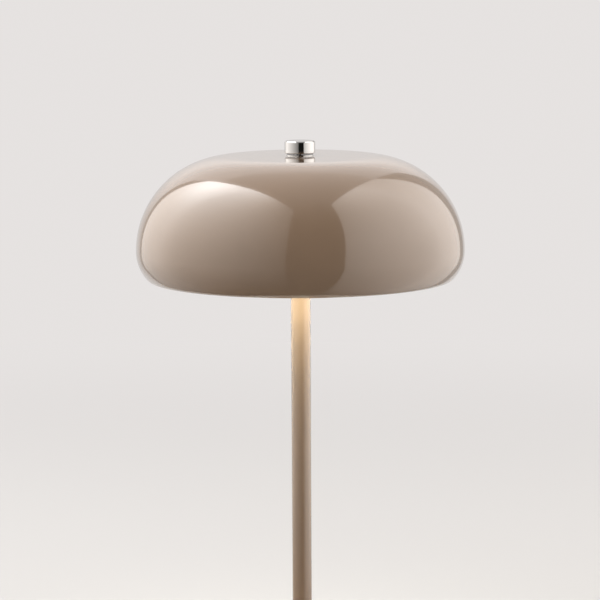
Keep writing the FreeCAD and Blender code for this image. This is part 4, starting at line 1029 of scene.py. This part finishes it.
def rectangle_loop(width, height, corner, y, centre_z):
    """Rounded rectangle at a depth, walked anticlockwise as seen from the rear."""
    turn = np.radians(np.linspace(0, 90, CORNER_POINTS))
    quarter = corner * np.stack([np.cos(turn), np.sin(turn)], axis=1)
    inset = np.array([width / 2 - corner, height / 2 - corner])
    spins = [np.array([[1, 0], [0, 1]]), np.array([[0, 1], [-1, 0]])]
    spins += [-spins[0], -spins[1]]
    signs = ((1, 1), (-1, 1), (-1, -1), (1, -1))
    flat = np.vstack([quarter @ spin + inset * sign for spin, sign in zip(spins, signs)])
    return np.stack([-flat[:, 0], np.full(len(flat), y), flat[:, 1] + centre_z], axis=1)


def lofted(loops):
    """A closed skin through loops with equal numbers of points, the last joined to the first."""
    points = np.array(loops)
    faces = grid_faces(points.shape, wrap_rows=True)
    return points.reshape(-1, 3), faces.reshape(-1, 4).tolist()


def port_liner_loops(sizes):
    """Loops from the liner's rear edge along its outside, over its rounded lip and in to the socket."""
    (left, rear, under), (right, mouth, over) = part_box("port_liner")
    width, height, middle = right - left, over - under, (over + under) / 2
    wall, corner, soft = sizes.port_wall, sizes.port_corner, sizes.port_wall / 2
    floor = rear + sizes.port_back
    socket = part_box("charge_socket")
    gap = 2 * sizes.socket_gap
    window = (socket[1].x - socket[0].x + gap, socket[1].z - socket[0].z + gap, sizes.socket_corner)

    def ring(inset, y):
        return rectangle_loop(width - 2 * inset, height - 2 * inset, corner - inset, y, middle)

    lip = np.radians(np.linspace(0, 180, LIP_LOOPS))
    loops = [ring(0, rear), ring(0, mouth - soft)]
    loops += [ring(soft - soft * math.cos(a), mouth - soft + soft * math.sin(a)) for a in lip[1:]]
    loops += [ring(wall, floor)]
    loops += [rectangle_loop(*window, y, middle) for y in (floor, rear)]
    return loops


# Operators

class LAMP_OT_shade(bpy.types.Operator):
    """Spun shade: lacquer outside and over the rim, white enamel inside"""

    bl_idname = "lamp.shade"
    bl_label = "Shade"

    def execute(self, context):
        sizes = context.scene.lamp_sizes
        outside, inside, lip = shade_section(sizes)
        section = joined(outside, inside, lip)
        points, normals, faces = turned(section, sizes.columns)
        shade = new_piece("spun_shade", points, faces, finish("lacquer"), finish("shade_inside"))
        row = np.repeat(np.arange(len(section)), sizes.columns)
        white = (row >= len(outside)) & (row < len(outside) + len(inside) - 1)
        shade.data.polygons.foreach_set("material_index", white.astype(np.int32))
        shade.data.normals_split_custom_set_from_vertices(normals.tolist())
        stand_for(shade, "shade")
        return {"FINISHED"}


class LAMP_OT_knob(bpy.types.Operator):
    """Polished knob cap and the collar under it"""

    bl_idname = "lamp.knob"
    bl_label = "Dimmer knob"

    def execute(self, context):
        sizes = context.scene.lamp_sizes
        around, polish = sizes.fine_columns, finish("chrome")
        turned_piece("dimmer_cap", "knob_cap", knob_cap_section(sizes), around, polish, False, "knob")
        turned_piece("crown_collar", "knob_collar", knob_collar_section(sizes), around, polish)
        return {"FINISHED"}


class LAMP_OT_stem(bpy.types.Operator):
    """Slim stem and the collar at its foot"""

    bl_idname = "lamp.stem"
    bl_label = "Stem"

    def execute(self, context):
        sizes = context.scene.lamp_sizes
        bottom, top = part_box("stem_tube")
        tube = tube_section(top.x - sizes.stem_wall, top.x, bottom.z, top.z, sizes.stem_wall / 4)
        turned_piece("lacquered_stem", "stem_tube", tube, sizes.fine_columns, finish("lacquer"))
        foot = stem_foot_section(sizes)
        turned_piece("stem_collar", "stem_foot", foot, sizes.fine_columns, finish("lacquer"))
        return {"FINISHED"}


class LAMP_OT_light(bpy.types.Operator):
    """Opal diffuser and the tray that holds it"""

    bl_idname = "lamp.light"
    bl_label = "Light unit"

    def execute(self, context):
        sizes = context.scene.lamp_sizes
        dish, tray = diffuser_section(sizes), tray_section(sizes)
        turned_piece("opal_dish", "diffuser", dish, sizes.columns, finish("opal"))
        turned_piece("light_tray", "led_tray", tray, sizes.columns, finish("white_metal"))
        return {"FINISHED"}


class LAMP_OT_base(bpy.types.Operator):
    """Base shell with its openings, and the ring that it stands on"""

    bl_idname = "lamp.base"
    bl_label = "Base"

    def execute(self, context):
        sizes = context.scene.lamp_sizes
        points, faces = base_shell_surface(sizes)
        shell = new_piece("base_cover", points, faces.tolist(), finish("lacquer"))
        thickened(shell, sizes.base_wall)
        stand_for(shell, "base_shell")
        ring = foot_ring_section(sizes)
        turned_piece("soft_foot", "foot_ring", ring, sizes.columns, finish("rubber"))
        return {"FINISHED"}


class LAMP_OT_port(bpy.types.Operator):
    """Moulded liner of the charging port"""

    bl_idname = "lamp.port"
    bl_label = "Charging port"

    def execute(self, context):
        points, faces = lofted(port_liner_loops(context.scene.lamp_sizes))
        liner = new_piece("port_frame", points, faces, finish("black_plastic"))
        sharpen(liner.data)
        stand_for(liner, "port_liner")
        return {"FINISHED"}


class LAMP_OT_works(bpy.types.Operator):
    """Finishes of the parts that keep their solid's own shape"""

    bl_idname = "lamp.works"
    bl_label = "Inner works"

    def execute(self, context):
        for node, part in frame["nodes"].items():
            if not part.hide_render:
                part.data.materials.clear()
                part.data.materials.append(finish(NODE_SLOT[node]))
        return {"FINISHED"}


class LAMP_OT_stage(bpy.types.Operator):
    """Pale floor, light panels, the lamp's own light and the camera"""

    bl_idname = "lamp.stage"
    bl_label = "Studio"

    def execute(self, context):
        studio = context.scene.lamp_studio
        make_floor(studio)
        make_sky(context.scene, studio)
        make_panels(studio)
        make_lamp_light(studio)
        make_camera(context.scene, studio)
        return {"FINISHED"}


# Studio

def floor_paper(studio):
    """Matt paper round the lamp that turns into an even pale wall with the distance.

    The camera and reflections see it paler than it lights the lamp, and see the wall without shading.
    """
    material = bpy.data.materials.new("studio_floor")
    tree = Tree(material)
    colours = bpy.context.scene.lamp_colours
    glossy = tree.ray("Glossy")
    seen = tree.ray("Camera") + glossy + tree.ray("Transmission")
    place = tree.place()
    distance = tree.add("ShaderNodeVectorMath", {"operation": "LENGTH"}, {0: place}, output="Value")
    height = tree.part(place, "Z")
    above = tree.between(height, studio.foot_start, studio.foot_end)
    slant = 1.0 - tree.part(place, "X") / distance * glossy * above * studio.wall_slant
    foot = 1.0 - glossy * (1.0 - above) * studio.wall_foot
    upper = tree.between(height, studio.upper_start, studio.upper_end)
    level = slant * foot * (studio.wall_light + upper * studio.wall_upper)
    pale = tree.add("ShaderNodeEmission", inputs={"Color": tree.tint(colours.backdrop, level)})
    shade = tree.mix(seen, colours.floor, colours.floor_seen)
    paper = tree.add("ShaderNodeBsdfDiffuse", inputs={"Color": shade})
    share = tree.between(distance, studio.fade_start, studio.fade_end) * seen
    wall = tree.add("ShaderNodeMixShader", inputs={0: share, 1: paper, 2: pale})
    tree.add("ShaderNodeOutputMaterial", inputs={"Surface": wall})
    return material


def make_floor(studio):
    """Flat pale disc that rises into a wall all round, in a quarter circle."""
    flat, cove = studio.floor_radius, studio.cove_radius
    section = joined(
        [[0.0, 0.0, 0.0, 1.0]],
        bend((flat, cove), cove, 270, 355, COVE_STEPS),
        [[flat + cove, 2 * cove, -1.0, 0.0]],
    )
    turn = np.linspace(0, 2 * np.pi, FLOOR_COLUMNS, endpoint=False)
    points = carried(section[:, 0], section[:, 1] - studio.floor_gap, turn)
    faces = grid_faces(points.shape, flip=True).reshape(-1, 4)
    floor = new_piece("studio_floor", points.reshape(-1, 3), faces.tolist(), floor_paper(studio))


def make_sky(scene, studio):
    """Soft light from all round: pale up to an edge above the wall, dimmer overhead, dimmest in front."""
    scene.world = bpy.data.worlds.new("studio_sky")
    tree = Tree(scene.world)
    across, depth, height = (tree.part(tree.place(), axis) for axis in "XYZ")
    edge = math.sin(studio.sky_edge)
    overhead = tree.between(height, edge - studio.sky_softness, edge + studio.sky_softness)
    sides = studio.sky_low - across * (2 * studio.sky_slant)
    seen = studio.sky_seen + depth * studio.sky_depth - across * studio.sky_slant
    above = studio.sky_high + tree.ray("Glossy") * (seen - studio.sky_high)
    level = sides + (above - sides) * overhead
    backdrop = scene.lamp_colours.backdrop
    light = tree.add("ShaderNodeBackground", inputs={"Color": tree.tint(backdrop, level)})
    tree.add("ShaderNodeOutputWorld", inputs={"Surface": light})


# Light panels

def level_edge(bearing, facing, highest):
    """Elevation of a flat panel's level top edge: tan(rise) = tan(highest) * cos(bearing - facing)."""
    return np.arctan(math.tan(highest) * np.cos(bearing - facing))


def leaning(bearing, rise, lean):
    """Bearing of a line that is straight and leans to the right as it rises above eye level."""
    return bearing + np.arcsin(lean * np.tan(np.maximum(rise, 0)))


def ramped(value, first, last):
    """A straight step from 0 to 1."""
    return np.clip((value - first) / (last - first), 0, 1)


def climb(rise):
    """0 at the inner edge of the panels' floor parts and 1 where their radiance is given."""
    return np.maximum(rise - PANEL_INNER, 0) / (PANEL_RATED - PANEL_INNER)


# Light of each panel as a share of its brightness, by bearing and elevation in degrees

def left_light(bearing, rise):
    """Light that grows towards the rear and upwards, with a hot corner at the top of the rear."""
    front_share, rear_loss, power = 0.16, 0.25, 1.55
    corner_light, corner_rise, corner_reach = 0.85, 52.0, 16.0
    side = np.abs(bearing)
    across = front_share + (1 - front_share) * ramped(side, 10.0, 110.0)
    rear = 1 - rear_loss * ramped(side, 115.0, 143.0)
    corner = ramped(side, 105.0, 130.0) * np.exp(-(((rise - corner_rise) / corner_reach) ** 2))
    return across * rear * climb(rise) ** power + corner_light * corner


def right_light(bearing, rise):
    """Light that is most at the side and fades towards the front, the rear, the top and downwards."""
    front_loss, rear_loss, upper_loss, power = 0.57, 0.34, 0.2, 0.7
    front = 1 - front_loss * (1 - ramped(bearing, 30.0, 120.0)) ** 2
    rear = 1 - rear_loss * ramped(bearing, 115.0, 143.0)
    upper = 1 - upper_loss * ramped(rise, 20.0, 50.0)
    return front * rear * upper * climb(rise) ** power


def cloth_light(bearing, rise):
    """Dark cloth that is a little paler towards its top."""
    least = 0.04
    return least + (1 - least) * ramped(rise, 35.0, 72.0) ** 2


def flag_light(bearing, rise):
    """Even grey."""
    return np.ones_like(rise)


def panel_cloth(name, studio, brightness):
    """Glowing cloth: the brightness times the level that its mesh holds, paler where it is hot."""
    material = bpy.data.materials.new(name)
    tree = Tree(material)
    colours = bpy.context.scene.lamp_colours
    level = tree.add("ShaderNodeAttribute", {"attribute_name": "level"}, output="Fac") * brightness
    hot = tree.between(level, studio.hot_start, studio.hot_end)
    cloth = tree.mix(hot, colours.panel, colours.panel_hot)
    glow = tree.add("ShaderNodeEmission", inputs={"Color": tree.tint(cloth, level)})
    tree.add("ShaderNodeOutputMaterial", inputs={"Surface": glow})
    return material


def make_panel(name, studio, span, edge, light, brightness, leans=(0.0, 0.0), lights=True):
    """Sheet on a sphere round the shade, by bearing and elevation, that runs on along the floor.

    Where the sphere would go below the floor, a second sheet lies just over the floor and comes closer to
    the lamp; only reflections see it. Its points lie where rays meet the floor that start on the shade's
    lower edge, at half their bearing, because the shade mirrors them there. An end of the span that leans
    is a straight line, which moves to the right by asin(lean * tan(rise)) above eye level; the top edge
    is found on the leaning bearing by a few rounds. The light is a share of the brightness.
    """
    material = panel_cloth(name, studio, brightness)
    middle = low("shade").z
    eye = middle - studio.panel_lift
    foot = -math.asin(eye / studio.panel_distance)
    steps = np.linspace(0, 1, PANEL_COLUMNS), np.linspace(0, 1, PANEL_ROWS)
    along, share = np.meshgrid(*steps, indexing="ij")
    plumb = span[0] + along * (span[1] - span[0])
    lean = leans[0] + along * (leans[1] - leans[0])
    top = level_edge(plumb, *edge)
    for _ in range(EDGE_ROUNDS):
        top = level_edge(leaning(plumb, top, lean), *edge)
    for part, on_floor in (("upright", False), ("floor", True)):
        under, over = (math.radians(PANEL_INNER), foot) if on_floor else (foot, top)
        rise = under + share * (over - under)
        bearing = leaning(plumb, rise, lean)
        slope = np.tan(rise)
        flat = -eye / slope if on_floor else studio.panel_distance * np.cos(rise)
        mirror = studio.mirror_radius * np.clip((foot - rise) / studio.mirror_ease, 0, 1)
        x = flat * np.sin(bearing) + mirror * np.sin(bearing / 2)
        y = -flat * np.cos(bearing) - mirror * np.cos(bearing / 2)
        points = np.stack([x, y, middle + flat * slope], axis=2)
        faces = grid_faces(points.shape, wrap_columns=False).reshape(-1, 4)
        panel = new_piece(f"{name}_{part}", points.reshape(-1, 3), faces.tolist(), material)
        levels = panel.data.attributes.new("level", "FLOAT", "POINT")
        levels.data.foreach_set("value", light(np.degrees(bearing), np.degrees(rise)).ravel())
        panel.visible_camera = False
        panel.visible_diffuse = lights and not on_floor
        panel.visible_shadow = not on_floor


def make_panels(studio):
    """A light panel on each side, a dark cloth between them in front, and a grey flag behind each."""
    left, right = (studio.gap_left, studio.left_end), (studio.gap_right, studio.right_end)
    gap = (studio.gap_left, studio.gap_right)
    left_rear = (studio.left_end, studio.left_flag_end)
    right_rear = (studio.right_end, studio.right_flag_end)
    left_edge = (studio.left_facing, studio.left_top)
    right_edge = (studio.right_facing, studio.right_top)
    cloth_edge = (studio.cloth_facing, studio.cloth_top)
    leans = (studio.left_lean, studio.right_lean)
    grey = studio.flag_light
    make_panel("left_panel", studio, left, left_edge, left_light, studio.left_light, (leans[0], 0.0))
    make_panel("right_panel", studio, right, right_edge, right_light, studio.right_light, (leans[1], 0.0))
    make_panel("front_cloth", studio, gap, cloth_edge, cloth_light, studio.gap_light, leans)
    make_panel("left_flag", studio, left_rear, left_edge, flag_light, grey, lights=False)
    make_panel("right_flag", studio, right_rear, right_edge, flag_light, grey, lights=False)


# The lamp's own light, and the camera

def make_lamp_light(studio):
    """The lamp's own warm light, from a disc just below the middle of the diffuser."""
    light = bpy.data.lights.new("lamp_light", "AREA")
    light.shape = "DISK"
    light.size = studio.lamp_width
    light.spread = studio.lamp_spread
    light.energy = studio.lamp_light
    light.color = bpy.context.scene.lamp_colours.glow
    thing = bpy.data.objects.new("lamp_light", light)
    thing.location.z = low("diffuser").z - studio.lamp_gap
    thing.visible_camera = False
    bpy.context.scene.collection.objects.link(thing)


def make_camera(scene, studio):
    """A long lens in front of the lamp that looks down a little."""
    camera = bpy.data.cameras.new("camera")
    camera.lens = studio.camera_lens
    camera.sensor_width = studio.camera_sensor
    camera.clip_end = studio.camera_reach
    thing = bpy.data.objects.new("camera", camera)
    tilt, aim = studio.camera_tilt, Vector((-studio.camera_aside, 0, studio.camera_aim))
    back = Vector((0, -math.cos(tilt), math.sin(tilt)))
    thing.location = aim + studio.camera_distance * back
    level = Euler((math.pi / 2 - tilt, 0, 0)).to_matrix()
    thing.rotation_euler = (level @ Matrix.Rotation(-studio.camera_roll, 3, "Z")).to_euler()
    scene.collection.objects.link(thing)
    scene.camera = thing
    scene.view_settings.view_transform = "Standard"


# Add-on

class LAMP_PT_sidebar(bpy.types.Panel):
    """Lists the steps that dress the lamp"""

    bl_idname = "LAMP_PT_sidebar"
    bl_label = "Mushroom Lamp"
    bl_space_type = "VIEW_3D"
    bl_region_type = "UI"
    bl_category = "Lamp"

    def draw(self, context):
        for step in STEPS:
            self.layout.operator(step.bl_idname)


STEPS = (
    LAMP_OT_shade,
    LAMP_OT_knob,
    LAMP_OT_stem,
    LAMP_OT_light,
    LAMP_OT_base,
    LAMP_OT_port,
    LAMP_OT_works,
    LAMP_OT_stage,
)
GROUPS = {"lamp_sizes": LampSizes, "lamp_colours": LampColours, "lamp_studio": LampStudio}


def register():
    """Register the groups of values, the steps and the sidebar."""
    for group in GROUPS.values():
        bpy.utils.register_class(group)
    for name, group in GROUPS.items():
        setattr(bpy.types.Scene, name, PointerProperty(type=group))
    for step in STEPS:
        bpy.utils.register_class(step)
    bpy.utils.register_class(LAMP_PT_sidebar)


def unregister():
    """Take everything back out in reverse order."""
    bpy.utils.unregister_class(LAMP_PT_sidebar)
    for step in reversed(STEPS):
        bpy.utils.unregister_class(step)
    for name in GROUPS:
        delattr(bpy.types.Scene, name)
    for group in reversed(GROUPS.values()):
        bpy.utils.unregister_class(group)


def main():
    """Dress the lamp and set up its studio."""
    register()
    bpy.ops.lamp.shade()
    bpy.ops.lamp.knob()
    bpy.ops.lamp.stem()
    bpy.ops.lamp.light()
    bpy.ops.lamp.base()
    bpy.ops.lamp.port()
    bpy.ops.lamp.works()
    bpy.ops.lamp.stage()


if __name__ == "__main__":
    main()
